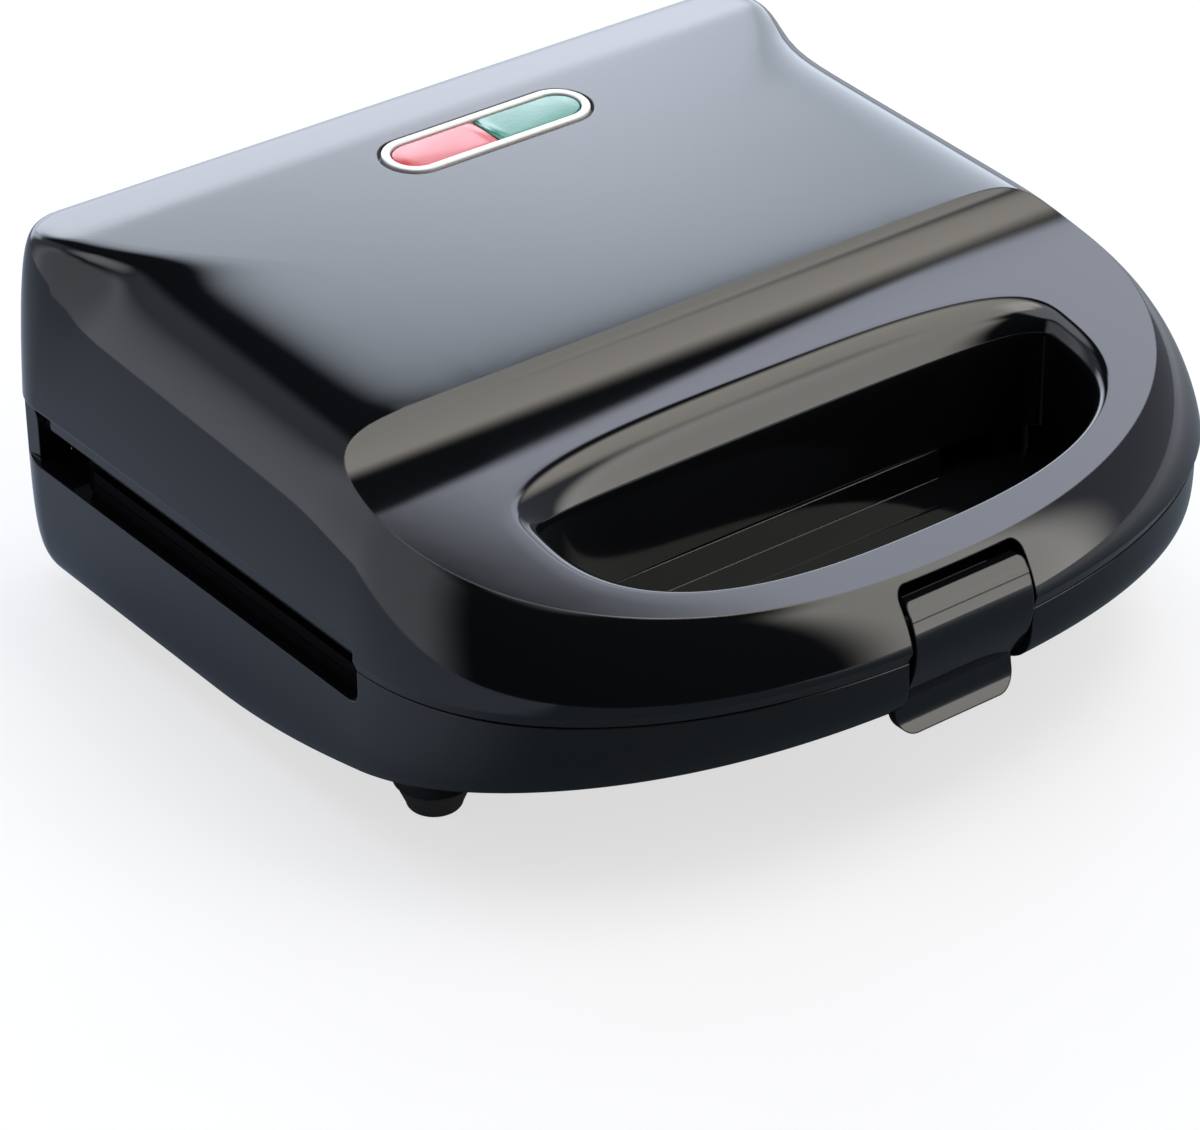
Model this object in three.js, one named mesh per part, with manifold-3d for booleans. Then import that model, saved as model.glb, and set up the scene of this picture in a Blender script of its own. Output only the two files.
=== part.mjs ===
// A sandwich maker for two slices of bread: a moulded base and lid with a D-shaped grip, two hinged
// cooking plates with triangular pockets, heating elements, an indicator window and a front latch.
// Millimetres, X across, Y towards the hinge, Z up from the table, origin under the middle.

import * as THREE from "three";
import { mergeVertices } from "three/addons/utils/BufferGeometryUtils.js";
import Module from "manifold-3d";

const wasm = await Module();
wasm.setup();

// Driving dimensions of the body
const bodyWidth = 230;
const bodyDepth = 220;
const seamHeight = 47;
const lidWidestHeight = 50;
const panelHeight = 90.4;
const ringHeight = 87.1;
const ringLift = 5.9;
const shoulderSetback = 76;
const rearCornerRadius = 17;
const seamInset = 1;
const shellWall = 2.6;
const partGap = 0.3;
const cutOverrun = 20;
const pillowCentre = 10;

// Slopes are rises over runs towards the hinge; exponents of the superellipses have no unit
const panelSlope = 0.0526;
const ringSlope = 0.225;
const rearStripSlope = -0.03;
const planExponent = 2.23;
const lidFrontExponent = 13.8;
const lidSideExponent = 16;
const lidRearExponent = 200;
const lidRearGrowth = 22;
const lidRiseExponent = 1.25;
const baseFrontExponent = 10;
const baseSideExponent = 70;
const baseRiseExponent = 4.25;

// Ridge at the rear of the top panel, and the concave band from the panel down to the grip
const ridgeSetback = 16.5;
const bandTopSetback = 99;
const bandRun = 21;
const bandLean = 2;

// Finger hole in the grip
const holeSideSetback = 36.3;
const holeMiddleSetback = 57;
const holeFrontReach = 39.4;
const holeRearReach = 20.6;
const holeFrontExponent = 2.55;
const holeRearExponent = 3.2;
const holeRearRound = 10;
const holeSideRound = 5;
const holeFrontRound = 1.5;

// Underside of the base, and the finger tray under the hole
const underRearHeight = 8;
const underFrontHeight = 28.1;
const underRearSetback = 135;
const underFrontSetback = 4.6;
const trayFloorHeight = 39;
const trayGrowth = 1;
const trayRearSetback = 71;
const trayCornerRadius = 10;
const trayPadWidth = 96;
const trayPadReach = 4;
const trayPadRun = 5;

// Slots between base and lid along the sides and the rear
const slotFrontSetback = 73;
const slotLipHeight = 54.5;
const baseRimHeight = 38;
const slotRecess = 4.5;
const slotLinerWall = 3;
const slotCornerRadius = 4;

// Hinge at the two rear corners
const hingeHeight = 48;
const hingeSetback = 7;
const hingePostRadius = 6.5;
const hingePostInset = 3;
const hingePostWidth = 8.5;
const hingeEarWidth = 6;
const hingeEarRadius = 6;
const hingeEarHeight = 12;
const hingePinRadius = 2;
const hingePinInset = 5;
const hingeOpening = THREE.MathUtils.degToRad(100);

// Cooking plates
const plateSideSetback = 11;
const plateFrontSetback = 82;
const plateRearSetback = 16;
const plateCornerRadius = 8;
const plateThickness = 3;
const partingHeight = 42.4;
const pocketDepth = 9.5;
const pocketWall = 2.6;
const pocketMargin = 6;
const pocketBridge = 17;
const pocketDiagonal = 5;
const pocketCornerRadius = 9;
const pocketFloorRadius = 3;
const pocketSlope = 11;
const plateLedge = 2.2;
const plateClearance = 1.5;
const wellChamfer = 3;

// Screws that hold each plate, in a row between the two sandwiches
const screwRadius = 1.5;
const screwHeadRadius = 2.9;
const screwHeadHeight = 1.8;
const screwLength = 12;
const screwFrontMargin = 8;
const screwRearMargin = 33;
const bossRadius = 4.5;

// Heating elements, their clamps and reflectors
const elementRadius = 3.2;
const elementBend = 14;
const elementSideMargin = 24;
const elementFrontMargin = 23;
const elementRearMargin = 17;
const beadRadius = 3.2;
const beadLength = 7.5;
const clampWidth = 10;
const clampLength = 20;
const clampSheet = 1.2;
const clampOffset = 45;
const reflectorMargin = 14;
const reflectorSheet = 0.8;
const reflectorRim = 2.8;
const reflectorDrop = 4;
const reflectorCornerRadius = 10;
const reflectorPostRadius = 4;
const reflectorPostSideInset = 30;
const reflectorPostInset = 24;

// Electrical parts
const thermostatRadius = 8;
const thermostatHeight = 7;
const thermostatOffset = 30;
const thermostatInset = 19;
const thermostatStemRadius = 3;
const thermostatStemHeight = 2;
const terminalWidth = 34;
const terminalDepth = 13;
const terminalHeight = 9;
const terminalPadHeight = 2.4;
const terminalBoreRadius = 2;
const terminalPitch = 11;
const fuseRadius = 2.6;
const fuseLength = 15;
const fuseInset = 6;
const leadRadius = 1.1;
const leadBend = 3.5;
const leadSetback = 20;
const leadTurn = 30;
const glandFlangeRadius = 7;
const glandNeckRadius = 5;
const glandBoreRadius = 3.4;
const glandLipRadius = 6.2;
const glandFlange = 1.4;
const glandPadRadius = 9;
const glandPadDepth = 5;
const glandHeight = 27;
const glandOffset = 48;
const glandSetback = 1.8;

// Feet
const footRadius = 8.6;
const footTipRadius = 6.6;
const footHeight = 7;
const footRound = 1.5;
const footStemRadius = 2.8;
const footStemLength = 4.5;
const footBossRim = 0.8;
const footSideInset = 24;
const frontFootSetback = 78;
const rearFootSetback = 17;

// Indicator window in the panel
const windowLength = 59;
const windowWidth = 16.5;
const windowSetback = 31;
const windowOffset = 8;
const windowGroove = 0.9;
const bezelRim = 2.2;
const bezelProud = 0.5;
const bezelDepth = 4.6;
const bezelFlange = 2.2;
const bezelLedge = 0.9;
const bezelLedgeHeight = 1.2;
const lensThickness = 3.2;
const holderLength = 50;
const holderWidth = 13;
const holderDepth = 9;
const holderWall = 1.3;
const saddleHeight = 1;
const saddleWidth = 2;
const lampRadius = 2.4;
const lampLength = 17;

// Latch in front of the grip
const latchWidth = 34;
const latchThickness = 2.6;
const latchTopHeight = 60;
const latchTopSetback = 5;
const latchBulgeHeight = 49;
const latchBulgeSetback = 0.4;
const latchKinkHeight = 33;
const latchKinkSetback = 7;
const latchTipHeight = 24.8;
const latchTipSetback = 4.6;
const latchTopCorner = 1.5;
const latchTabCorner = 5;
const latchPivotHeight = 55.4;
const latchPivotSetback = 5.2;
const latchBarrelRadius = 3;
const latchPinRadius = 1.2;
const latchRecessTop = 63;
const latchRecessDepth = 13;
const latchRecessCorner = 3;
const latchSideGap = 1;
const hookHeight = 37;
const hookThickness = 2.6;
const hookInset = 4;
const keeperHeight = 3;
const keeperReach = 1.2;
const keeperInset = 3;
const hookClearance = 0.6;

// Faceting
const noseSteps = 22;
const sideSteps = 4;
const cornerSteps = 5;
const rearSteps = 2;
const riseSteps = 7;
const crownShare = 0.9;
const rowCrowding = 1.4;
const firstRoll = THREE.MathUtils.degToRad(3);
const floorRowShares = [0.35, 0.7];
const holeSteps = 32;
const rollSteps = 4;
const roundSteps = 16;
const smallRoundSteps = 10;
const arcSteps = 3;
const elementSides = 8;
const elementSteps = 24;
const leadSides = 6;
const leadSteps = 20;

// Places worked out from the driving dimensions
const halfWidth = bodyWidth / 2;
const frontY = -bodyDepth / 2;
const rearY = bodyDepth / 2;
const shoulderY = frontY + shoulderSetback;
const lidFoot = seamHeight + partGap / 2;
const baseTop = seamHeight - partGap / 2;
const ridgeY = rearY - ridgeSetback;
const bandTopY = frontY + bandTopSetback;
const bandFootY = bandTopY - bandRun;
const holeWidth = bodyWidth - 2 * holeSideSetback;
const holeMiddleY = frontY + holeMiddleSetback;
const trayRearY = frontY + trayRearSetback;
const slotFrontY = frontY + slotFrontSetback;
const hingeY = rearY - hingeSetback;
const postOuterX = halfWidth - hingePostInset;
const postInnerX = postOuterX - hingePostWidth;
const earOuterX = postInnerX - partGap;
const earInnerX = earOuterX - hingeEarWidth;
const plateWidth = bodyWidth - 2 * plateSideSetback;
const plateFrontY = frontY + plateFrontSetback;
const plateRearY = rearY - plateRearSetback;
const wellFrontY = plateFrontY - plateClearance;
const wellHalfWidth = plateWidth / 2 + plateClearance;
const screwFrontY = plateFrontY + screwFrontMargin;
const screwRearY = plateRearY - screwRearMargin;
const screwMiddleY = (screwFrontY + screwRearY) / 2;
const elementX = plateWidth / 2 - elementSideMargin;
const elementFrontY = plateFrontY + elementFrontMargin;
const elementRearY = plateRearY - elementRearMargin;
const beadRearY = elementRearY + partGap + beadLength;
const reflectorPostX = plateWidth / 2 - reflectorMargin - reflectorPostSideInset;
const reflectorFrontY = plateFrontY + reflectorMargin;
const reflectorRearY = plateRearY - reflectorMargin;
const leadY = rearY - leadSetback;
const fuseY = reflectorRearY - fuseInset;
const glandFaceY = rearY - glandSetback;
const windowY = rearY - windowSetback;
const latchPivotY = frontY + latchPivotSetback;
const latchBackY = frontY + latchRecessDepth;
const latchOpenHalf = latchWidth / 2 + latchSideGap;
const screwRows = [
  ["front", screwFrontY],
  ["middle", screwMiddleY],
  ["rear", screwRearY],
];
const footPlaces = [
  ["foot_front_left", footSideInset - halfWidth, frontY + frontFootSetback],
  ["foot_front_right", halfWidth - footSideInset, frontY + frontFootSetback],
  ["foot_rear_left", footSideInset - halfWidth, rearY - rearFootSetback],
  ["foot_rear_right", halfWidth - footSideInset, rearY - rearFootSetback],
];

// Offsets from the parting plane, the same for both cooking units
const plateFace = partGap / 2;
const plateBack = plateFace + plateThickness;
const bossEnd = plateBack + partGap;
const pocketBack = plateFace + pocketDepth + pocketWall;
const elementOffset = pocketBack + partGap + elementRadius;
const reflectorFace = elementOffset + elementRadius + reflectorDrop;
const reflectorBack = reflectorFace + reflectorSheet;
const reflectorSeat = reflectorBack + partGap;
const terminalSeat = underRearHeight + shellWall + terminalPadHeight;

const glossBlack = { color: 0x0b0c0e, roughness: 0.08, metalness: 0 };
const satinBlack = { color: 0x15161a, roughness: 0.35, metalness: 0 };
const nonStick = { color: 0x1b1b1c, roughness: 0.55, metalness: 0.1 };
const blackRubber = { color: 0x17181a, roughness: 0.85, metalness: 0 };
const bareSteel = { color: 0xa9abad, roughness: 0.35, metalness: 1 };
const sheetAluminium = { color: 0xc3c5c8, roughness: 0.3, metalness: 1 };
const elementSteel = { color: 0x6d6a63, roughness: 0.5, metalness: 1 };
const whitePlastic = { color: 0xe9e9e6, roughness: 0.3, metalness: 0 };
const redLensPlastic = { color: 0xd6525a, roughness: 0.15, metalness: 0 };
const greenLensPlastic = { color: 0x2f9f86, roughness: 0.15, metalness: 0 };
const clearGlass = { color: 0xd8e0e2, roughness: 0.05, metalness: 0 };
const steatite = { color: 0xe8e0cf, roughness: 0.6, metalness: 0 };
const leadSleeve = { color: 0xc9c2b0, roughness: 0.7, metalness: 0 };

const blend = (from, to, share) => from + (to - from) * share;
const signedPower = (value, power) => Math.sign(value) * Math.abs(value) ** power;
const joined = (solids) => solids.reduce((whole, next) => whole.add(next));

// A closed three.js geometry as a solid that can be joined and cut
function solidOf(geometry) {
  const bare = geometry.clone();
  bare.deleteAttribute("normal");
  bare.deleteAttribute("uv");
  const merged = mergeVertices(bare);
  const vertProperties = new Float32Array(merged.attributes.position.array);
  const triVerts = new Uint32Array(merged.index.array);
  return new wasm.Manifold(new wasm.Mesh({ numProp: 3, vertProperties, triVerts }));
}

// A named mesh of a solid, flat-shaded
function piece(name, solid, finish) {
  const made = solid.getMesh();
  const indexed = new THREE.BufferGeometry();
  indexed.setAttribute("position", new THREE.BufferAttribute(new Float32Array(made.vertProperties), 3));
  indexed.setIndex(new THREE.BufferAttribute(new Uint32Array(made.triVerts), 1));
  const geometry = indexed.toNonIndexed();
  geometry.computeVertexNormals();
  const mesh = new THREE.Mesh(geometry, new THREE.MeshStandardMaterial(finish));
  mesh.name = name;
  return mesh;
}

function box([x0, x1], [y0, y1], [z0, z1]) {
  const geometry = new THREE.BoxGeometry(x1 - x0, y1 - y0, z1 - z0);
  geometry.translate((x0 + x1) / 2, (y0 + y1) / 2, (z0 + z1) / 2);
  return solidOf(geometry);
}

// A box across the whole width, from y0 out past the rear
const slab = (y0, z0, z1) => box([-bodyWidth, bodyWidth], [y0, rearY + cutOverrun], [z0, z1]);

// A cylinder along an axis, from the middle of its first end
function cylinder(axis, radius, [x, y, z], length, sides = roundSteps) {
  const geometry = new THREE.CylinderGeometry(radius, radius, length, sides);
  geometry.translate(0, length / 2, 0);
  if (axis === "x") geometry.rotateZ(-Math.PI / 2);
  if (axis === "z") geometry.rotateX(Math.PI / 2);
  geometry.translate(x, y, z);
  return solidOf(geometry);
}

const cylinderAcross = (radius, [x0, x1], y, z) => cylinder("x", radius, [x0, y, z], x1 - x0);

// A range across on one side of the middle: side is -1 or 1, near and far are distances from it
const sideRange = (side, near, far) => (side > 0 ? [near, far] : [-far, -near]);

// A surface of revolution about Y, from a profile of [radius, y] points
function turned(profile, sides = roundSteps) {
  return new THREE.LatheGeometry(profile.map(([r, y]) => new THREE.Vector2(r, y)), sides);
}

// A solid through loops of points, bottom first, each counter-clockwise from above, closed by a fan of
// triangles from the middle of the first and of the last loop
function loft(loops) {
  const count = loops[0].length;
  const points = loops.flat();
  const middle = (loop) => [0, 1, 2].map((k) => loop.reduce((sum, p) => sum + p[k], 0) / count);
  const bottom = points.push(middle(loops[0])) - 1;
  const top = points.push(middle(loops[loops.length - 1])) - 1;
  const last = (loops.length - 1) * count;
  const index = [];
  for (let i = 0; i < count; i++) {
    const next = (i + 1) % count;
    index.push(bottom, next, i, top, last + i, last + next);
    for (let row = 0; row < last; row += count) {
      const above = row + count;
      index.push(row + i, row + next, above + next, row + i, above + next, above + i);
    }
  }
  const geometry = new THREE.BufferGeometry();
  geometry.setAttribute("position", new THREE.Float32BufferAttribute(points.flat(), 3));
  geometry.setIndex(index);
  return solidOf(geometry);
}

// A shape in X and Y, in Y and Z or in X and Z, extruded square to its plane. The last runs towards -Y
function extruded(shape, plane, [from, to], curveSegments = smallRoundSteps) {
  const depth = to - from;
  const geometry = new THREE.ExtrudeGeometry(shape, { depth, bevelEnabled: false, curveSegments });
  geometry.translate(0, 0, from);
  const turn = new THREE.Matrix4();
  if (plane === "yz") turn.set(0, 0, 1, 0, 1, 0, 0, 0, 0, 1, 0, 0, 0, 0, 0, 1);
  if (plane === "xz") turn.set(1, 0, 0, 0, 0, 0, -1, 0, 0, 1, 0, 0, 0, 0, 0, 1);
  return solidOf(geometry.applyMatrix4(turn));
}

const outline = (points) => new THREE.Shape(points.map(([u, v]) => new THREE.Vector2(u, v)));

// A rectangle with one radius on its lower and another on its upper corners
function roundedRectangle([x0, x1], [y0, y1], lower, upper = lower) {
  const points = [];
  const corners = [
    [x1 - lower, y0 + lower, lower],
    [x1 - upper, y1 - upper, upper],
    [x0 + upper, y1 - upper, upper],
    [x0 + lower, y0 + lower, lower],
  ];
  corners.forEach(([x, y, radius], k) => {
    for (let i = 0; i <= arcSteps; i++) {
      const angle = (Math.PI / 2) * (k - 1 + i / arcSteps);
      points.push([x + radius * Math.cos(angle), y + radius * Math.sin(angle)]);
    }
  });
  return outline(points);
}

function pill(length, width) {
  const radius = width / 2;
  const shape = new THREE.Shape();
  shape.absarc(length / 2 - radius, 0, radius, -Math.PI / 2, Math.PI / 2);
  shape.absarc(radius - length / 2, 0, radius, Math.PI / 2, Math.PI * 1.5);
  return shape;
}

// A round bar along straight runs joined by bends
function bar(route, bend, radius, sides, steps) {
  const points = route.map((p) => new THREE.Vector3(...p));
  const path = new THREE.CurvePath();
  let from = points[0];
  for (let i = 1; i < points.length - 1; i++) {
    const into = points[i].clone().sub(points[i - 1]).normalize();
    const out = points[i + 1].clone().sub(points[i]).normalize();
    const start = points[i].clone().addScaledVector(into, -bend);
    const end = points[i].clone().addScaledVector(out, bend);
    path.add(new THREE.LineCurve3(from, start));
    path.add(new THREE.QuadraticBezierCurve3(start, points[i], end));
    from = end;
  }
  path.add(new THREE.LineCurve3(from, points[points.length - 1]));
  const section = [];
  for (let i = 0; i < sides; i++) {
    const angle = (2 * Math.PI * i) / sides;
    section.push([radius * Math.cos(angle), radius * Math.sin(angle)]);
  }
  const settings = { steps, extrudePath: path, bevelEnabled: false };
  return solidOf(new THREE.ExtrudeGeometry(outline(section), settings));
}

// Plan of the body set in by a distance: a superellipse nose, straight sides, rounded rear corners
function bodyPlan(inset, rear) {
  const half = halfWidth - inset;
  const reach = shoulderSetback - inset;
  const radius = Math.max(rearCornerRadius - inset, inset);
  const back = rear - inset;
  const power = 2 / planExponent;
  const plan = [];
  for (let i = 0; i < noseSteps; i++) {
    const angle = Math.PI * (1 + i / noseSteps);
    const y = shoulderY + reach * signedPower(Math.sin(angle), power);
    plan.push([half * signedPower(Math.cos(angle), power), y]);
  }
  for (let i = 0; i < sideSteps; i++) {
    plan.push([half, blend(shoulderY, back - radius, i / sideSteps)]);
  }
  for (let i = 0; i < cornerSteps; i++) {
    const angle = (Math.PI / 2) * (i / cornerSteps);
    plan.push([half - radius + radius * Math.cos(angle), back - radius + radius * Math.sin(angle)]);
  }
  for (let i = 0; i < rearSteps; i++) {
    plan.push([blend(half - radius, radius - half, i / rearSteps), back]);
  }
  for (let i = 0; i < cornerSteps; i++) {
    const angle = (Math.PI / 2) * (1 + i / cornerSteps);
    plan.push([radius - half + radius * Math.cos(angle), back - radius + radius * Math.sin(angle)]);
  }
  for (let i = 0; i < sideSteps; i++) {
    plan.push([-half, blend(back - radius, shoulderY, i / sideSteps)]);
  }
  return plan;
}

// The plan as an upright prism
function planPrism(inset, rear, z0, z1) {
  const plan = bodyPlan(inset, rear);
  return loft([plan.map((p) => [...p, z0]), plan.map((p) => [...p, z1])]);
}

const shrunk = ([x, y], rho) => [x * rho, pillowCentre + (y - pillowCentre) * rho];
const panelAt = (y) => panelHeight + panelSlope * y;
const ringAt = (y) => ringHeight + ringSlope * y;
const liftedRingAt = (y) => ringAt(y) + ringLift;

// How boxy the roll from crown to wall is: soft at the nose, crisp at the ridge
function lidExponent(y) {
  if (y < shoulderY) return blend(lidFrontExponent, lidSideExponent, (y - frontY) / shoulderSetback);
  const share = ((y - shoulderY) / (rearY - shoulderY)) ** lidRearGrowth;
  return blend(lidSideExponent, lidRearExponent, share);
}

function baseExponent(y) {
  return blend(baseFrontExponent, baseSideExponent, Math.min((y - frontY) / shoulderSetback, 1));
}

// A pillow under one crown: each row shrinks the plan towards the middle by rho and rises by the share
// of the crown's height for which rho^n + rise^m = 1. The last row lies on the crown
function lidPillow(wall, crown, below) {
  const plan = bodyPlan(wall, rearY);
  const seamShare = 1 - seamInset / halfWidth;
  const level = (rho, z) => plan.map((p) => [...shrunk(p, rho), z]);
  const loops = below ? [level(seamShare, lidFoot - below)] : [];
  loops.push(level(seamShare, lidFoot), level(1, lidWidestHeight));
  const row = (angle, share, rise) =>
    plan.map((p) => {
      const [x, y] = shrunk(p, share * Math.sin(angle) ** (2 / lidExponent(p[1])));
      return [x, y, blend(lidWidestHeight, crown(y) - wall, rise)];
    });
  let angle = Math.PI / 2;
  for (let i = 1; i < riseSteps; i++) {
    angle = (Math.PI / 2) * (1 - i / riseSteps) ** rowCrowding;
    loops.push(row(angle, 1, Math.cos(angle) ** (2 / lidRiseExponent)));
  }
  loops.push(row(angle, crownShare, 1));
  return loft(loops);
}

// Everything above the grip's sloping face and the concave band that rises from it to the panel,
// moved back and down by a wall for the inside of the shell
function gripCut(wall) {
  const nose = frontY - cutOverrun;
  const ceiling = panelAt(rearY) + cutOverrun;
  const bend = bandTopY - bandLean;
  const shape = new THREE.Shape();
  shape.moveTo(nose, ringAt(nose) - wall);
  shape.lineTo(bandFootY + wall, ringAt(bandFootY) - wall);
  shape.quadraticCurveTo(bend + wall, ringAt(bend) - wall, bandTopY + wall, panelAt(bandTopY) - wall);
  shape.lineTo(bandTopY + wall, ceiling);
  shape.lineTo(nose, ceiling);
  return extruded(shape, "yz", [-bodyWidth, bodyWidth]);
}

// Everything above the strip that falls from the panel's ridge to the rear wall, moved down by a wall
function rearStripCut(wall) {
  const end = rearY + cutOverrun;
  const ceiling = panelAt(rearY) + cutOverrun;
  const ridge = panelAt(ridgeY) - wall;
  const shape = outline([
    [ridgeY, ridge],
    [end, ridge + rearStripSlope * (end - ridgeY)],
    [end, ceiling],
    [ridgeY, ceiling],
  ]);
  return extruded(shape, "yz", [-bodyWidth, bodyWidth]);
}

// The lid's outside, or its inside one wall in: the lower of the panel's and the grip's pillows, cut
// away over the grip and over the strip at the rear
function lidForm(wall, below) {
  const pillow = lidPillow(wall, panelAt, below).intersect(lidPillow(wall, liftedRingAt, below));
  return pillow.subtract(gripCut(wall)).subtract(rearStripCut(wall));
}

// The finger hole, a D in plan whose rim rolls over into the wall, widely at the rear like a scoop.
// Grown by a wall it is the skin around the hole
function holeForm(wall) {
  const ring = (roll, flat) => {
    const loop = [];
    for (let i = 0; i < holeSteps; i++) {
      const angle = (2 * Math.PI * i) / holeSteps;
      const rear = Math.sin(angle) > 0;
      const power = 2 / (rear ? holeRearExponent : holeFrontExponent);
      const endRound = rear ? holeRearRound : holeFrontRound;
      const half = holeWidth / 2 - (holeSideRound - wall) * Math.sin(roll);
      const reach = (rear ? holeRearReach : holeFrontReach) - (endRound - wall) * Math.sin(roll);
      const round = blend(endRound, holeSideRound, Math.cos(angle) ** 2);
      const x = half * signedPower(Math.cos(angle), power);
      const y = holeMiddleY + reach * signedPower(Math.sin(angle), power);
      loop.push([x, y, flat ?? ringAt(y) - wall * Math.cos(roll) - round * (1 - Math.cos(roll))]);
    }
    return loop;
  };
  const loops = [ring(Math.PI / 2, lidFoot - cutOverrun)];
  for (let i = rollSteps; i >= 0; i--) loops.push(ring((Math.PI / 2) * (i / rollSteps)));
  loops.push(ring(0, panelAt(rearY)));
  return loft(loops);
}

// Height of the base's underside: low under the plates, rising under the grip
function undersideAt(y) {
  const run = underRearSetback - underFrontSetback;
  const share = Math.min(Math.max((frontY + underRearSetback - y) / run, 0), 1);
  return blend(underRearHeight, underFrontHeight, Math.sin((Math.PI / 2) * share) ** 2);
}

// The base's outside, or its inside one wall in: the pillow upside down, on its uneven underside
function baseForm(wall, above) {
  const plan = bodyPlan(seamInset + wall, rearY + seamInset);
  const row = (angle, share) =>
    plan.map((p) => {
      const [x, y] = shrunk(p, share * Math.sin(angle) ** (2 / baseExponent(p[1])));
      return [x, y, blend(baseTop, undersideAt(y) + wall, Math.cos(angle) ** (2 / baseRiseExponent))];
    });
  const loops = floorRowShares.map((share) => row(firstRoll, share));
  for (let i = 0; i <= riseSteps; i++) {
    loops.push(row(blend(firstRoll, Math.PI / 2, (i / riseSteps) ** rowCrowding), 1));
  }
  if (above) loops.push(plan.map((p) => [...p, baseTop + above]));
  return loft(loops);
}

// The tray's outline: the hole's nose, and a rear wall whose middle stands forward
function trayShape(grow) {
  const half = holeWidth / 2 - holeSideRound + trayGrowth + grow;
  const reach = holeFrontReach - holeFrontRound + trayGrowth + grow;
  const power = 2 / holeFrontExponent;
  const rear = trayRearY + grow;
  const padHalf = trayPadWidth / 2 - grow;
  const corner = half - trayCornerRadius;
  const points = [];
  for (let i = 0; i <= noseSteps; i++) {
    const angle = Math.PI * (1 + i / noseSteps);
    const y = holeMiddleY + reach * signedPower(Math.sin(angle), power);
    points.push([half * signedPower(Math.cos(angle), power), y]);
  }
  for (let i = 0; i <= arcSteps; i++) {
    const angle = (Math.PI / 2) * (i / arcSteps);
    const y = rear - trayCornerRadius * (1 - Math.sin(angle));
    points.push([corner + trayCornerRadius * Math.cos(angle), y]);
  }
  points.push([padHalf + trayPadRun, rear], [padHalf, rear - trayPadReach]);
  points.push([-padHalf, rear - trayPadReach], [-padHalf - trayPadRun, rear]);
  for (let i = 0; i <= arcSteps; i++) {
    const angle = (Math.PI / 2) * (1 + i / arcSteps);
    const y = rear - trayCornerRadius * (1 - Math.sin(angle));
    points.push([trayCornerRadius * Math.cos(angle) - corner, y]);
  }
  return outline(points);
}

// The recess for the latch, from below the base up into the lid, and the same grown by a wall
function latchRecess(grow) {
  const across = [-latchOpenHalf - grow, latchOpenHalf + grow];
  const shape = roundedRectangle(across, [-cutOverrun, latchRecessTop + grow], latchRecessCorner);
  return extruded(shape, "xz", [-latchBackY - grow, cutOverrun - frontY]);
}

// A region over or under a sill at the side and rear slots, seen from the side with a rounded front end
function slotRegion(sill, far) {
  const rise = Math.sign(far - sill);
  const rear = rearY + cutOverrun;
  const shape = new THREE.Shape();
  shape.moveTo(slotFrontY, far);
  shape.lineTo(slotFrontY, sill + rise * slotCornerRadius);
  shape.quadraticCurveTo(slotFrontY, sill, slotFrontY + slotCornerRadius, sill);
  shape.lineTo(rear, sill);
  shape.lineTo(rear, far);
  return extruded(shape, "yz", [-bodyWidth, bodyWidth]);
}

// A strip hanging from the hinge axis and turned about it: where a post lies to the lid as it opens
function hingeStrip(radius, angle, across) {
  const along = [Math.sin(angle) * cutOverrun, -Math.cos(angle) * cutOverrun];
  const aside = [Math.cos(angle) * radius, Math.sin(angle) * radius];
  const strip = outline([
    [hingeY - aside[0], hingeHeight - aside[1]],
    [hingeY - aside[0] + along[0], hingeHeight - aside[1] + along[1]],
    [hingeY + aside[0] + along[0], hingeHeight + aside[1] + along[1]],
    [hingeY + aside[0], hingeHeight + aside[1]],
  ]);
  return extruded(strip, "yz", across);
}

// The opening in a deck through which a plate's pockets pass, smaller than the plate by a ledge
function plateOpening(z0, z1) {
  const half = plateWidth / 2 - plateLedge;
  const along = [plateFrontY + plateLedge, plateRearY - plateLedge];
  return extruded(roundedRectangle([-half, half], along, plateCornerRadius), "xy", [z0, z1]);
}

// Upright posts inside a housing: bosses or bores for the plate's screws
function screwPosts(radius, z0, z1) {
  return joined(screwRows.map(([, y]) => cylinder("z", radius, [0, y, z0], z1 - z0, smallRoundSteps)));
}

// Upright posts that a reflector rests on
function reflectorPosts(z0, z1) {
  const posts = [];
  for (const x of [-reflectorPostX, reflectorPostX]) {
    for (const y of [reflectorFrontY + reflectorPostInset, reflectorRearY - reflectorPostInset]) {
      posts.push(cylinder("z", reflectorPostRadius, [x, y, z0], z1 - z0, smallRoundSteps));
    }
  }
  return joined(posts);
}

// The window's own frame: its middle on the panel, tilted with it
function windowMatrix() {
  const matrix = new THREE.Matrix4().makeRotationX(Math.atan(panelSlope));
  return matrix.setPosition(windowOffset, windowY, panelAt(windowY));
}

function windowOpening() {
  const shape = pill(windowLength + 2 * windowGroove, windowWidth + 2 * windowGroove);
  const settings = { depth: bezelDepth + cutOverrun, bevelEnabled: false, curveSegments: smallRoundSteps };
  const geometry = new THREE.ExtrudeGeometry(shape, settings);
  geometry.translate(0, 0, -bezelDepth);
  return solidOf(geometry.applyMatrix4(windowMatrix()));
}

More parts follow.
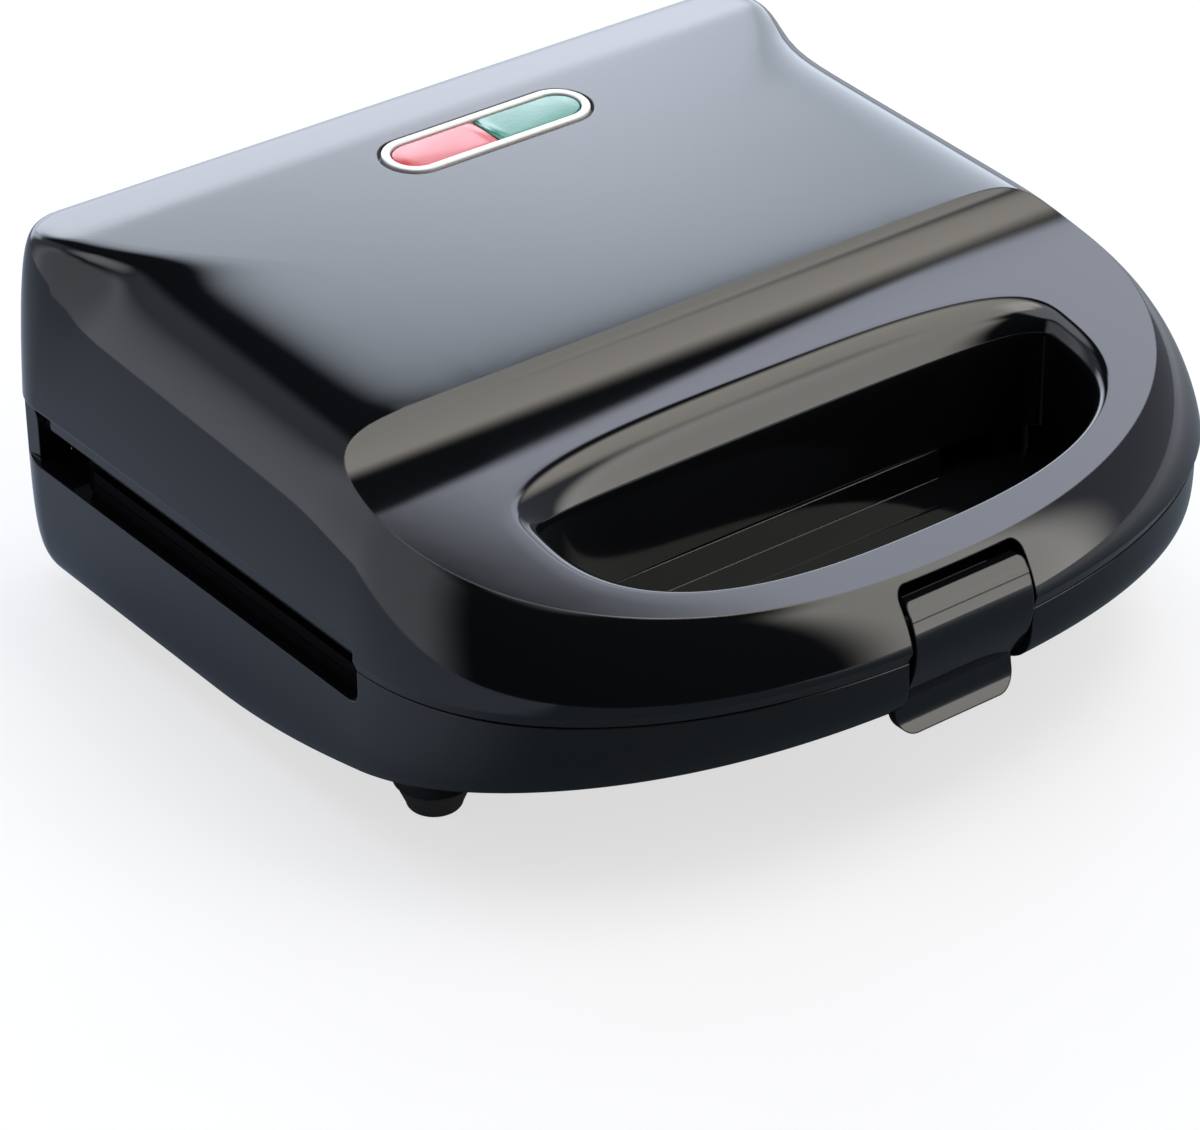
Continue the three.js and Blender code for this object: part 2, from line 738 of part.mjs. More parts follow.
// The lid's moulded shell: what is kept standing inside it, then what is cut away from it
function upperHousing() {
  const under = lidFoot - cutOverrun;
  const top = panelAt(rearY) + cutOverrun;
  const bossFoot = partingHeight + bossEnd;
  const deckTop = lidFoot + shellWall;
  const innerPlan = planPrism(slotRecess + slotLinerWall, rearY, under - partGap, top);
  const kept = joined([
    holeForm(shellWall),
    latchRecess(shellWall),
    slab(-bodyDepth, under, deckTop),
    slab(slotFrontY - shellWall, under, slotLipHeight + shellWall).subtract(innerPlan),
    screwPosts(bossRadius, under, top),
    reflectorPosts(partingHeight + reflectorSeat, top),
  ]);
  const slotPlan = planPrism(slotRecess, rearY, under - partGap, top);
  const cuts = [
    lidForm(shellWall, cutOverrun).subtract(kept),
    holeForm(0),
    latchRecess(0),
    slotRegion(slotLipHeight, under).subtract(slotPlan),
    plateOpening(under, deckTop + partGap).subtract(screwPosts(bossRadius, under, top)),
    windowOpening(),
  ];
  let housing = cuts.reduce((solid, cut) => solid.subtract(cut), lidForm(0, 0));
  housing = housing.add(screwPosts(bossRadius, bossFoot, deckTop));
  housing = housing.subtract(screwPosts(screwRadius + partGap, bossFoot - partGap, bossFoot + screwLength));
  for (const side of [-1, 1]) {
    const ear = sideRange(side, earInnerX, earOuterX);
    const armHeights = [hingeHeight, hingeHeight + hingeEarHeight];
    housing = housing.add(box(ear, [hingeY - hingeEarRadius, rearY - slotRecess], armHeights));
    housing = housing.add(cylinderAcross(hingeEarRadius, ear, hingeY, hingeHeight));
    const post = sideRange(side, earOuterX, bodyWidth);
    const sweep = hingePostRadius + partGap;
    housing = housing.subtract(cylinderAcross(sweep, post, hingeY, hingeHeight));
    housing = housing.subtract(hingeStrip(sweep, 0, post));
    housing = housing.subtract(hingeStrip(sweep, hingeOpening, post));
    const bore = sideRange(side, earInnerX - partGap, postInnerX);
    housing = housing.subtract(cylinderAcross(hingePinRadius + partGap, bore, hingeY, hingeHeight));
  }
  const pinReach = latchOpenHalf + shellWall;
  const pinRadius = latchPinRadius + partGap;
  return housing.subtract(cylinderAcross(pinRadius, [-pinReach, pinReach], latchPivotY, latchPivotHeight));
}

// The base's moulded shell, with its tray, posts, keeper and foot bosses. A chamfer along the well's
// front wall leads the upper plate in
function lowerHousing() {
  const under = underRearHeight - cutOverrun;
  const over = baseTop + cutOverrun;
  const bossTop = partingHeight - bossEnd;
  const bosses = screwPosts(bossRadius, under, bossTop);
  const terminal = [glandOffset - terminalWidth / 2, glandOffset + terminalWidth / 2];
  const kept = joined([
    extruded(trayShape(shellWall), "xy", [trayFloorHeight - shellWall, over]),
    latchRecess(shellWall),
    slab(wellFrontY - shellWall, baseRimHeight - shellWall, over),
    slab(-bodyDepth, baseTop - shellWall, over),
    bosses,
    reflectorPosts(under, partingHeight - reflectorSeat),
    box(terminal, [leadY - terminalDepth / 2, leadY + terminalDepth / 2], [under, terminalSeat]),
  ]);
  const tongue = box([-wellHalfWidth, wellHalfWidth], [-bodyDepth, wellFrontY], [under, over + partGap]);
  const edge = outline([
    [wellFrontY, baseTop - wellChamfer],
    [wellFrontY + plateClearance, baseTop - wellChamfer],
    [wellFrontY + plateClearance, over],
    [wellFrontY - wellChamfer - cutOverrun, over],
  ]);
  const cuts = [
    extruded(edge, "yz", [-bodyWidth, bodyWidth]),
    baseForm(shellWall, cutOverrun).subtract(kept),
    extruded(trayShape(0), "xy", [trayFloorHeight, over]),
    slab(wellFrontY, baseRimHeight, over).subtract(bosses),
    slotRegion(baseRimHeight, over).subtract(tongue),
    plateOpening(baseRimHeight - shellWall - partGap, over).subtract(bosses),
    latchRecess(0),
    screwPosts(screwRadius + partGap, bossTop - screwLength, bossTop + partGap),
  ];
  let housing = cuts.reduce((solid, cut) => solid.subtract(cut), baseForm(0, 0));
  const keeperHalf = latchOpenHalf - keeperInset;
  const keeperFoot = hookHeight + hookClearance;
  const keeperDepth = [latchBackY - keeperReach, latchBackY + shellWall];
  housing = housing.add(box([-keeperHalf, keeperHalf], keeperDepth, [keeperFoot, keeperFoot + keeperHeight]));
  const padStart = [glandOffset, glandFaceY - glandPadDepth, glandHeight];
  const boreStart = [glandOffset, glandFaceY - glandPadDepth - partGap, glandHeight];
  housing = housing.add(cylinder("y", glandPadRadius, padStart, glandPadDepth));
  const spotStart = [glandOffset, glandFaceY, glandHeight];
  housing = housing.subtract(cylinder("y", glandFlangeRadius + partGap, spotStart, cutOverrun));
  housing = housing.subtract(cylinder("y", glandNeckRadius + partGap, boreStart, cutOverrun));
  const corner = planPrism(seamInset, rearY + seamInset, underRearHeight, over);
  for (const side of [-1, 1]) {
    const post = sideRange(side, postInnerX, postOuterX);
    const shaftDepth = [hingeY - hingePostRadius, hingeY + hingePostRadius];
    const shaft = box(post, shaftDepth, [baseRimHeight - shellWall, hingeHeight]);
    const knuckle = cylinderAcross(hingePostRadius, post, hingeY, hingeHeight);
    housing = housing.add(shaft.add(knuckle).intersect(corner));
    const bore = sideRange(side, earOuterX, postOuterX - hingePinInset + partGap);
    housing = housing.subtract(cylinderAcross(hingePinRadius + partGap, bore, hingeY, hingeHeight));
  }
  const footSeat = footHeight + partGap;
  for (const [, x, y] of footPlaces) {
    const bossHeight = undersideAt(y) + shellWall - footSeat;
    housing = housing.add(cylinder("z", footRadius + footBossRim, [x, y, footSeat], bossHeight));
    const stemTop = footSeat + footStemLength;
    housing = housing.subtract(cylinder("z", footStemRadius + partGap, [x, y, 0], stemTop, smallRoundSteps));
  }
  return housing;
}

// A right triangle with rounded corners, set in from its edges. Its right angle is at the corner, its
// legs run along X and Y by signed lengths; the set-in triangle shrinks about the middle of its incircle
function roundedTriangle([x, y], [legX, legY], inset, radius) {
  const a = Math.abs(legX);
  const b = Math.abs(legY);
  const incircle = (a * b) / (a + b + Math.hypot(a, b));
  const scale = (incircle - inset - radius) / incircle;
  const slant = Math.atan2(a, b);
  const corners = [
    [0, 0, Math.PI, Math.PI * 1.5],
    [a, 0, -Math.PI / 2, slant],
    [0, b, slant, Math.PI],
  ];
  const loop = [];
  for (const [u, v, from, to] of corners) {
    for (let i = 0; i <= arcSteps; i++) {
      const angle = blend(from, to, i / arcSteps);
      const along = blend(incircle, u, scale) + radius * Math.cos(angle);
      const aside = blend(incircle, v, scale) + radius * Math.sin(angle);
      loop.push([x + Math.sign(legX) * along, y + Math.sign(legY) * aside]);
    }
  }
  return legX * legY > 0 ? loop : loop.reverse();
}

// The pocket for half a sandwich, sloping in with depth, or grown by the wall its raised back
function pocketForm(corner, legs, grow) {
  const slopeShares = [
    [0, 0],
    [0.35, 0.15],
    [0.8, 0.55],
    [1, 1],
  ];
  const loops = slopeShares.map(([depthShare, insetShare]) => {
    const inset = pocketSlope * insetShare - grow;
    const radius = Math.max(pocketCornerRadius - inset / 2, pocketFloorRadius);
    const z = plateFace + pocketDepth * depthShare + (depthShare ? grow : 0);
    return roundedTriangle(corner, legs, inset, radius).map((p) => [...p, z]);
  });
  if (!grow) loops.unshift(loops[0].map(([x, y]) => [x, y, -cutOverrun]));
  return loft(loops);
}

// One plate face down on the parting plane: a flange, and for each sandwich two pockets either side of
// a diagonal bridge
function cookingPlate() {
  const half = plateWidth / 2;
  const flange = roundedRectangle([-half, half], [plateFrontY, plateRearY], plateCornerRadius);
  const inner = pocketBridge / 2;
  const outer = half - pocketMargin;
  const front = plateFrontY + pocketMargin;
  const rear = plateRearY - pocketMargin;
  const diagonal = Math.hypot(outer - inner, rear - front);
  const share = 1 - (pocketDiagonal * diagonal) / (2 * (outer - inner) * (rear - front));
  const legX = (outer - inner) * share;
  const legY = (rear - front) * share;
  const pockets = [];
  for (const side of [-1, 1]) {
    pockets.push([[side * inner, front], [side * legX, legY]]);
    pockets.push([[side * outer, rear], [-side * legX, -legY]]);
  }
  let plate = extruded(flange, "xy", [plateFace, plateBack]);
  for (const [corner, legs] of pockets) plate = plate.add(pocketForm(corner, legs, pocketWall));
  for (const [corner, legs] of pockets) plate = plate.subtract(pocketForm(corner, legs, 0));
  const headSeat = plateFace + screwHeadHeight + partGap;
  plate = plate.subtract(screwPosts(screwRadius + partGap, 0, bossEnd));
  return plate.subtract(screwPosts(screwHeadRadius + partGap, 0, headSeat));
}

function plateScrew() {
  const profile = [
    [0, 0],
    [screwHeadRadius, 0],
    [screwHeadRadius, screwHeadHeight],
    [screwRadius, screwHeadHeight],
    [screwRadius, screwLength],
    [0, screwLength],
  ];
  return solidOf(turned(profile, smallRoundSteps).rotateX(Math.PI / 2));
}

function heatingElement() {
  const route = [
    [elementX, elementRearY, elementOffset],
    [elementX, elementFrontY, elementOffset],
    [-elementX, elementFrontY, elementOffset],
    [-elementX, elementRearY, elementOffset],
  ];
  return bar(route, elementBend, elementRadius, elementSides, elementSteps);
}

// A strap over the element's front run, with feet on the pocket's back
function elementClamp() {
  const across = [-clampWidth / 2, clampWidth / 2];
  const wide = [-clampWidth, clampWidth];
  const reach = elementRadius + partGap;
  const foot = pocketBack + partGap;
  const footDepth = [elementFrontY - clampLength / 2, elementFrontY + clampLength / 2];
  const yoke = [elementFrontY - reach - clampSheet, elementFrontY + reach + clampSheet];
  const arch = cylinderAcross(reach + clampSheet, across, elementFrontY, elementOffset);
  const body = joined([
    box(across, footDepth, [foot, foot + clampSheet]),
    box(across, yoke, [foot, elementOffset]),
    arch.intersect(box(wide, yoke, [foot, reflectorFace])),
  ]);
  const channel = box(wide, [elementFrontY - reach, elementFrontY + reach], [0, elementOffset]);
  return body.subtract(channel).subtract(cylinderAcross(reach, wide, elementFrontY, elementOffset));
}

// A shallow dish of sheet behind the element, cut clear of the screw bosses
function heatReflector() {
  const half = plateWidth / 2 - reflectorMargin;
  const dish = (inset, range) => {
    const along = [reflectorFrontY + inset, reflectorRearY - inset];
    const shape = roundedRectangle([inset - half, half - inset], along, reflectorCornerRadius);
    return extruded(shape, "xy", range);
  };
  const solid = dish(0, [reflectorBack - reflectorRim, reflectorBack]);
  const hollow = dish(reflectorSheet, [0, reflectorFace]);
  return solid.subtract(hollow).subtract(screwPosts(bossRadius + partGap, 0, reflectorBack + partGap));
}

// Everything that one half carries on its plate, in a frame whose Z points away from the parting plane.
// Turned over about Y for the lower half
function cookingUnit(prefix, side) {
  const unit = new THREE.Group();
  unit.position.z = partingHeight;
  unit.rotation.y = side > 0 ? 0 : Math.PI;
  unit.add(piece(prefix + "_cooking_plate", cookingPlate(), nonStick));
  unit.add(piece(prefix + "_heating_element", heatingElement(), elementSteel));
  unit.add(piece(prefix + "_heat_reflector", heatReflector(), sheetAluminium));
  for (const [row, y] of screwRows) {
    const screw = piece(prefix + "_plate_screw_" + row, plateScrew(), bareSteel);
    screw.position.set(0, y, plateFace);
    unit.add(screw);
  }
  for (const hand of [-1, 1]) {
    const label = hand * side > 0 ? "right" : "left";
    const clamp = piece(prefix + "_element_clamp_" + label, elementClamp(), bareSteel);
    clamp.position.x = hand * clampOffset;
    const beadStart = [hand * elementX, elementRearY + partGap, elementOffset];
    const bead = cylinder("y", beadRadius, beadStart, beadLength, smallRoundSteps);
    unit.add(clamp, piece(prefix + "_element_bead_" + label, bead, steatite));
  }
  return unit;
}

// A disc thermostat whose face lies on the back of a lower pocket
function thermostat() {
  const profile = [
    [0, 0],
    [thermostatRadius, 0],
    [thermostatRadius, thermostatHeight - thermostatStemHeight],
    [thermostatStemRadius, thermostatHeight - thermostatStemHeight],
    [thermostatStemRadius, thermostatHeight],
    [0, thermostatHeight],
  ];
  const mesh = piece("thermostat", solidOf(turned(profile).rotateX(-Math.PI / 2)), steatite);
  const y = elementFrontY + thermostatInset;
  mesh.position.set(-thermostatOffset, y, partingHeight - pocketBack - partGap);
  return mesh;
}

function terminalBlock() {
  const half = terminalWidth / 2;
  let block = box([-half, half], [-terminalDepth / 2, terminalDepth / 2], [0, terminalHeight]);
  for (const step of [-1, 0, 1]) {
    const start = [step * terminalPitch, -terminalDepth, terminalHeight / 2];
    block = block.subtract(cylinder("y", terminalBoreRadius, start, 2 * terminalDepth, smallRoundSteps));
  }
  const mesh = piece("terminal_block", block, whitePlastic);
  mesh.position.set(glandOffset, leadY, terminalSeat + partGap);
  return mesh;
}

// A bush through the rear wall with a flange outside and a lip inside, open for the cord
function cordGland() {
  const lip = -glandPadDepth - partGap;
  const profile = [
    [glandBoreRadius, lip - glandFlange],
    [glandLipRadius, lip - glandFlange],
    [glandLipRadius, lip],
    [glandNeckRadius, lip],
    [glandNeckRadius, partGap],
    [glandFlangeRadius, partGap],
    [glandFlangeRadius, partGap + glandFlange],
    [glandBoreRadius, partGap + glandFlange],
    [glandBoreRadius, lip - glandFlange],
  ];
  const mesh = piece("cord_gland", solidOf(turned(profile)), satinBlack);
  mesh.position.set(glandOffset, glandFaceY, glandHeight);
  return mesh;
}

// Sleeved leads from the lower element's ends down into the terminal block
function lowerLeads() {
  const z = partingHeight - elementOffset;
  const end = terminalSeat + terminalHeight + 2 * partGap;
  return [-1, 1].map((side) => {
    const x = side * elementX;
    const target = glandOffset + side * terminalPitch;
    const route = [
      [x, beadRearY + partGap, z],
      [x, leadY, z],
      [target, leadY, z],
      [target, leadY, end],
    ];
    const lead = bar(route, leadBend, leadRadius, leadSides, leadSteps);
    return piece("lower_lead_" + (side > 0 ? "right" : "left"), lead, leadSleeve);
  });
}

// The thermal fuse on the back of the upper reflector, and its leads from the upper element's ends
function upperWiring() {
  const low = partingHeight + elementOffset;
  const high = partingHeight + reflectorSeat + fuseRadius;
  const fuseStart = [-fuseLength / 2, fuseY, high];
  const fuse = cylinder("x", fuseRadius, fuseStart, fuseLength, smallRoundSteps);
  const leads = [-1, 1].map((side) => {
    const x = side * elementX;
    const route = [
      [x, beadRearY + partGap, low],
      [x, leadY, low],
      [x, leadY, high],
      [side * leadTurn, leadY, high],
      [side * leadTurn, fuseY, high],
      [side * (fuseLength / 2 + partGap), fuseY, high],
    ];
    const lead = bar(route, leadBend, leadRadius, leadSides, leadSteps);
    return piece("upper_lead_" + (side > 0 ? "right" : "left"), lead, leadSleeve);
  });
  return [piece("thermal_fuse", fuse, clearGlass), ...leads];
}

function foot() {
  const profile = [
    [0, 0],
    [footTipRadius - footRound, 0],
    [footTipRadius, footRound],
    [footRadius, footHeight - footRound],
    [footRadius, footHeight],
    [footStemRadius, footHeight],
    [footStemRadius, footHeight + footStemLength],
    [0, footHeight + footStemLength],
  ];
  return solidOf(turned(profile).rotateX(Math.PI / 2));
}

// The indicator: a white bezel through the panel, a red and a green lens in it, and two lamps behind
// them in a holder with a wall between
function indicator() {
  const group = new THREE.Group();
  group.applyMatrix4(windowMatrix());
  const groove = 2 * windowGroove;
  const rim = 2 * bezelRim;
  const flange = 2 * bezelFlange;
  const ledge = 2 * bezelLedge;
  const level = (length, width, range) => extruded(pill(length, width), "xy", range);
  const flangeTop = -shellWall - partGap;
  const sightFoot = bezelLedgeHeight - bezelDepth;
  const collar = level(windowLength, windowWidth, [-bezelDepth, bezelProud]);
  const wide = groove + flange;
  const skirt = level(windowLength + wide, windowWidth + wide, [-bezelDepth, flangeTop]);
  const sight = level(windowLength - rim, windowWidth - rim, [sightFoot, bezelDepth]);
  const light = level(windowLength - rim - ledge, windowWidth - rim - ledge, [-2 * bezelDepth, bezelDepth]);
  group.add(piece("window_bezel", collar.add(skirt).subtract(sight).subtract(light), whitePlastic));
  const fit = rim + 2 * partGap;
  const lensFoot = sightFoot + partGap;
  const lens = level(windowLength - fit, windowWidth - fit, [lensFoot, lensFoot + lensThickness]);
  const sides = [
    ["red", -1, redLensPlastic],
    ["green", 1, greenLensPlastic],
  ];
  const holderTop = -bezelDepth - partGap;
  const holderFloor = holderTop - holderDepth + holderWall;
  const halfLength = holderLength / 2;
  const halfHolder = holderWidth / 2;
  const lampMiddle = halfLength / 2;
  const tall = [-windowWidth, windowWidth];
  const holderRange = [holderTop - holderDepth, holderTop];
  let holder = box([-halfLength, halfLength], [-halfHolder, halfHolder], holderRange);
  for (const [name, side, finish] of sides) {
    const half = box(sideRange(side, partGap / 2, windowLength), tall, tall);
    group.add(piece(name + "_lens", lens.intersect(half), finish));
    const room = sideRange(side, holderWall / 2, halfLength - holderWall);
    const cell = box(room, [holderWall - halfHolder, halfHolder - holderWall], [holderFloor, 0]);
    const saddles = [-1, 1].map((end) => {
      const middle = side * lampMiddle + (end * lampLength) / 4;
      const span = [middle - saddleWidth / 2, middle + saddleWidth / 2];
      return box(span, [-halfHolder, halfHolder], [holderTop - holderDepth, holderFloor + saddleHeight]);
    });
    holder = holder.subtract(cell.subtract(joined(saddles)));
    const lampHeight = holderFloor + saddleHeight + partGap + lampRadius;
    const start = [side * lampMiddle - lampLength / 2, 0, lampHeight];
    const lamp = cylinder("x", lampRadius, start, lampLength, smallRoundSteps);
    group.add(piece(name + "_lamp", lamp, clearGlass));
  }
  group.add(piece("lamp_holder", holder, satinBlack));
  return group;
}

// The latch: a bowed plate with a flared finger tab below a crease, a barrel on the pin and a hook
// behind whose tip stands just clear of the keeper's edge
function latchClip() {
  const top = frontY + latchTopSetback;
  const bulge = frontY + latchBulgeSetback;
  const kink = frontY + latchKinkSetback;
  const tip = frontY + latchTipSetback;
  const upperBend = (latchTopHeight + latchBulgeHeight) / 2;
  const lowerBend = (latchBulgeHeight + latchKinkHeight) / 2;
  const tabBend = (latchKinkHeight + latchTipHeight) / 2;
  const shape = new THREE.Shape();
  shape.moveTo(top, latchTopHeight);
  shape.quadraticCurveTo(bulge, upperBend, bulge, latchBulgeHeight);
  shape.quadraticCurveTo(bulge, lowerBend, kink, latchKinkHeight);
  shape.quadraticCurveTo(kink, tabBend, tip, latchTipHeight);
  shape.lineTo(tip + latchThickness, latchTipHeight);
  shape.quadraticCurveTo(kink + latchThickness, tabBend, kink + latchThickness, latchKinkHeight);
  shape.quadraticCurveTo(bulge + latchThickness, lowerBend, bulge + latchThickness, latchBulgeHeight);
  shape.quadraticCurveTo(bulge + latchThickness, upperBend, top + latchThickness, latchTopHeight);
  const half = latchWidth / 2;
  const across = [-half, half];
  const plate = extruded(shape, "yz", across);
  const face = roundedRectangle(across, [latchTipHeight, latchTopHeight], latchTabCorner, latchTopCorner);
  const hookHalf = half - hookInset;
  const hookDepth = [kink, latchBackY - keeperReach - partGap];
  const clip = joined([
    plate.intersect(extruded(face, "xz", [0, bodyDepth])),
    cylinderAcross(latchBarrelRadius, across, latchPivotY, latchPivotHeight),
    box([-hookHalf, hookHalf], hookDepth, [hookHeight - hookThickness, hookHeight]),
  ]);
  const boreRadius = latchPinRadius + partGap;
  return clip.subtract(cylinderAcross(boreRadius, [-bodyWidth, bodyWidth], latchPivotY, latchPivotHeight));
}

function hingePin(side) {
  const pin = sideRange(side, earInnerX, postOuterX - hingePinInset);
  return cylinderAcross(hingePinRadius, pin, hingeY, hingeHeight);
}

function latchPin() {
  const reach = latchOpenHalf + shellWall - partGap;
  return cylinderAcross(latchPinRadius, [-reach, reach], latchPivotY, latchPivotHeight);
}

// The base and what it carries
const base = new THREE.Group();
base.add(piece("lower_housing", lowerHousing(), glossBlack), cookingUnit("lower", -1));
base.add(thermostat(), terminalBlock(), cordGland(), ...lowerLeads());
base.add(piece("hinge_pin_left", hingePin(-1), bareSteel), piece("hinge_pin_right", hingePin(1), bareSteel));
for (const [name, x, y] of footPlaces) {
  const mesh = piece(name, foot(), blackRubber);
  mesh.position.set(x, y, 0);
  base.add(mesh);
}

// The lid and what it carries
const lid = new THREE.Group();
lid.add(piece("upper_housing", upperHousing(), glossBlack), cookingUnit("upper", 1));
lid.add(...upperWiring(), indicator(), piece("latch_pin", latchPin(), bareSteel));
lid.add(piece("latch_clip", latchClip(), glossBlack));

const sandwichMaker = new THREE.Group();
sandwichMaker.add(base, lid);

export default sandwichMaker;
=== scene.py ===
"""A two-slice sandwich maker in gloss black plastic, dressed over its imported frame.

The two mouldings, the latch, the indicator and the feet are worked out here as smooth surfaces, in
millimetres, from the same formulas as the solids that they stand for. Every other solid of the frame
keeps its mesh and gets its finish. A world of soft light panels and a pale table make up the studio.
"""

import logging
import math
from dataclasses import dataclass
from enum import Enum
from typing import Sequence

import bpy
import numpy as np
from mathutils import Matrix, Vector


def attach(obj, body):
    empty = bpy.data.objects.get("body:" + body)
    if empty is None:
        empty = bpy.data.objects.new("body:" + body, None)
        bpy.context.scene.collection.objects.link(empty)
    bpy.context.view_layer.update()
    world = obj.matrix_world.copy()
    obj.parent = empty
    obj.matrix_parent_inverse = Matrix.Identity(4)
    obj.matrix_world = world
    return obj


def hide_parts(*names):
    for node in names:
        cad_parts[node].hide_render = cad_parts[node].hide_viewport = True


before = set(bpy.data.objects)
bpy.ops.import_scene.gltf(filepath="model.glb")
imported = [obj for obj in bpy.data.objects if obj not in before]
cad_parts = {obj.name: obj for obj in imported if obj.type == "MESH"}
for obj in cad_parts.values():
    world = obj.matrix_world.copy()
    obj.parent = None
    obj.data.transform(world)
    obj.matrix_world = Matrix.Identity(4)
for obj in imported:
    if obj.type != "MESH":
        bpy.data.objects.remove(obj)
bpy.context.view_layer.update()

log = logging.getLogger("sandwich_maker")
# Metres in a millimetre, and in millimetres the clearance of pieces that meet and the overrun of cuts
MM = 0.001
GAP = 0.3
OVERRUN = 20.0
# Power by which the rows of a rounded block crowd towards its crisp edge
CROWDING = 1.4
Range = tuple[float, float]
Point = tuple[float, float, float]
Object = bpy.types.Object
Material = bpy.types.Material
Socket = bpy.types.NodeSocket
Tree = bpy.types.NodeTree


def blend(low: float, high: float, share: float) -> float:
    """The value a share of the way from low to high."""
    return low + (high - low) * share


def signed_power(value: np.ndarray, power: float) -> np.ndarray:
    """The size raised to a power, with the sign kept."""
    return np.sign(value) * np.abs(value) ** power


def superellipse(angle: np.ndarray, half: float, reach: float, power: float) -> tuple[np.ndarray, np.ndarray]:
    """Points of |x / half|^power + |y / reach|^power = 1 over an angle, as X and Y."""
    return half * signed_power(np.cos(angle), 2 / power), reach * signed_power(np.sin(angle), 2 / power)


def soft_min(first: np.ndarray, second: np.ndarray, radius: float) -> np.ndarray:
    """The lower of two heights, rounded: half their sum less a hyperbola of their difference."""
    return (first + second - np.sqrt((first - second) ** 2 + 4 * radius**2)) / 2


def linear(code: str) -> tuple[float, float, float, float]:
    """An sRGB hex colour such as "#0b0c0e" as linear light.

    Args:
        code: the colour, with its leading hash.

    Returns:
        Red, green, blue and an alpha of one.
    """
    levels = [int(code[i : i + 2], 16) / 255 for i in (1, 3, 5)]
    light = [v / 12.92 if v <= 0.04045 else ((v + 0.055) / 1.055) ** 2.4 for v in levels]
    return (light[0], light[1], light[2], 1.0)


class Join(Enum):
    """How one solid is put together with another."""

    ADD = "UNION"
    CUT = "DIFFERENCE"
    MEET = "INTERSECT"


@dataclass
class Solid:
    """A closed mesh in millimetres that can be joined and cut."""

    mesh: bpy.types.Mesh

    @classmethod
    def of(cls, points: np.ndarray, faces: list[list[int]]) -> "Solid":
        """A solid from its points and faces, which point outwards."""
        mesh = bpy.data.meshes.new("form")
        mesh.from_pydata(points.tolist(), [], faces)
        return cls(mesh)

    def combined(self, how: Join, others: Sequence["Solid"]) -> "Solid":
        """This solid put together with others, one after another.

        Args:
            how: whether the others are added, cut away or met.
            others: the other solids, in order.

        Returns:
            A new solid.
        """
        body = bpy.data.objects.new("body", self.mesh)
        tools = [bpy.data.objects.new("tool", other.mesh) for other in others]
        for obj in [body, *tools]:
            bpy.context.scene.collection.objects.link(obj)
        for tool in tools:
            step = body.modifiers.new("step", "BOOLEAN")
            step.operation = how.value
            step.solver = "MANIFOLD"
            step.object = tool
        bpy.context.view_layer.update()
        graph = bpy.context.evaluated_depsgraph_get()
        mesh = bpy.data.meshes.new_from_object(body.evaluated_get(graph))
        for obj in [body, *tools]:
            bpy.data.objects.remove(obj)
        return Solid(mesh)

    def add(self, *others: "Solid") -> "Solid":
        """This solid with others added."""
        return self.combined(Join.ADD, others)

    def cut(self, *others: "Solid") -> "Solid":
        """This solid with others cut away."""
        return self.combined(Join.CUT, others)

    def meet(self, *others: "Solid") -> "Solid":
        """What this solid shares with the others."""
        return self.combined(Join.MEET, others)

    def moved(self, matrix: Matrix) -> "Solid":
        """This solid, placed by a matrix."""
        self.mesh.transform(matrix)
        return self

    def piece(self, name: str, body: str, finish: Material, crease: float = 15.0) -> Object:
        """The solid as a shaded object in metres that rides on a body.

        Args:
            name: the object's name.
            body: the frame's body that it moves with.
            finish: its material.
            crease: the angle in degrees over which an edge is drawn sharp.

        Returns:
            The object, at the origin.
        """
        self.mesh.name = name
        self.mesh.transform(Matrix.Scale(MM, 4))
        self.mesh.polygons.foreach_set("use_smooth", np.ones(len(self.mesh.polygons), bool))
        self.mesh.set_sharp_from_angle(angle=math.radians(crease))
        self.mesh.materials.clear()
        self.mesh.materials.append(finish)
        obj = bpy.data.objects.new(name, self.mesh)
        bpy.context.scene.collection.objects.link(obj)
        weights = obj.modifiers.new("even shading", "WEIGHTED_NORMAL")
        weights.mode = "FACE_AREA_WITH_ANGLE"
        weights.keep_sharp = True
        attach(obj, body)
        log.info("%s: %d faces", name, len(self.mesh.polygons))
        return obj


def quads(starts: np.ndarray, ends: np.ndarray, around: int) -> list[list[int]]:
    """Four-sided faces between rings of points.

    Args:
        starts: the first point of each lower ring.
        ends: the first point of the ring that each is joined to.
        around: points in a ring.

    Returns:
        The faces, which point outwards where the rings run counter-clockwise and upwards.
    """
    here = np.arange(around)
    after = (here + 1) % around
    low, high = starts[:, None], ends[:, None]
    return np.stack([low + here, low + after, high + after, high + here], -1).reshape(-1, 4).tolist()


def loft(loops: np.ndarray) -> Solid:
    """A solid through loops of points, bottom first and each counter-clockwise from above.

    Every point of a loop is joined to the same point of the next, and a fan of triangles from its middle
    closes the first and the last loop.

    Args:
        loops: points of shape (rows, around, 3).

    Returns:
        The closed solid.
    """
    rows, around, _ = loops.shape
    points = np.concatenate([loops.reshape(-1, 3), loops[[0, -1]].mean(axis=1)])
    here = np.arange(around)
    after = (here + 1) % around
    starts = np.arange(rows - 1) * around
    last = (rows - 1) * around
    bottom = np.stack([np.full(around, rows * around), after, here], -1)
    top = np.stack([np.full(around, rows * around + 1), last + here, last + after], -1)
    return Solid.of(points, [*quads(starts, starts + around, around), *bottom.tolist(), *top.tolist()])


def hoop(rings: np.ndarray) -> Solid:
    """A ring-shaped solid through rings of shape (rows, around, 3), the last joined to the first."""
    rows, around, _ = rings.shape
    starts = np.arange(rows) * around
    return Solid.of(rings.reshape(-1, 3), quads(starts, np.roll(starts, -1), around))


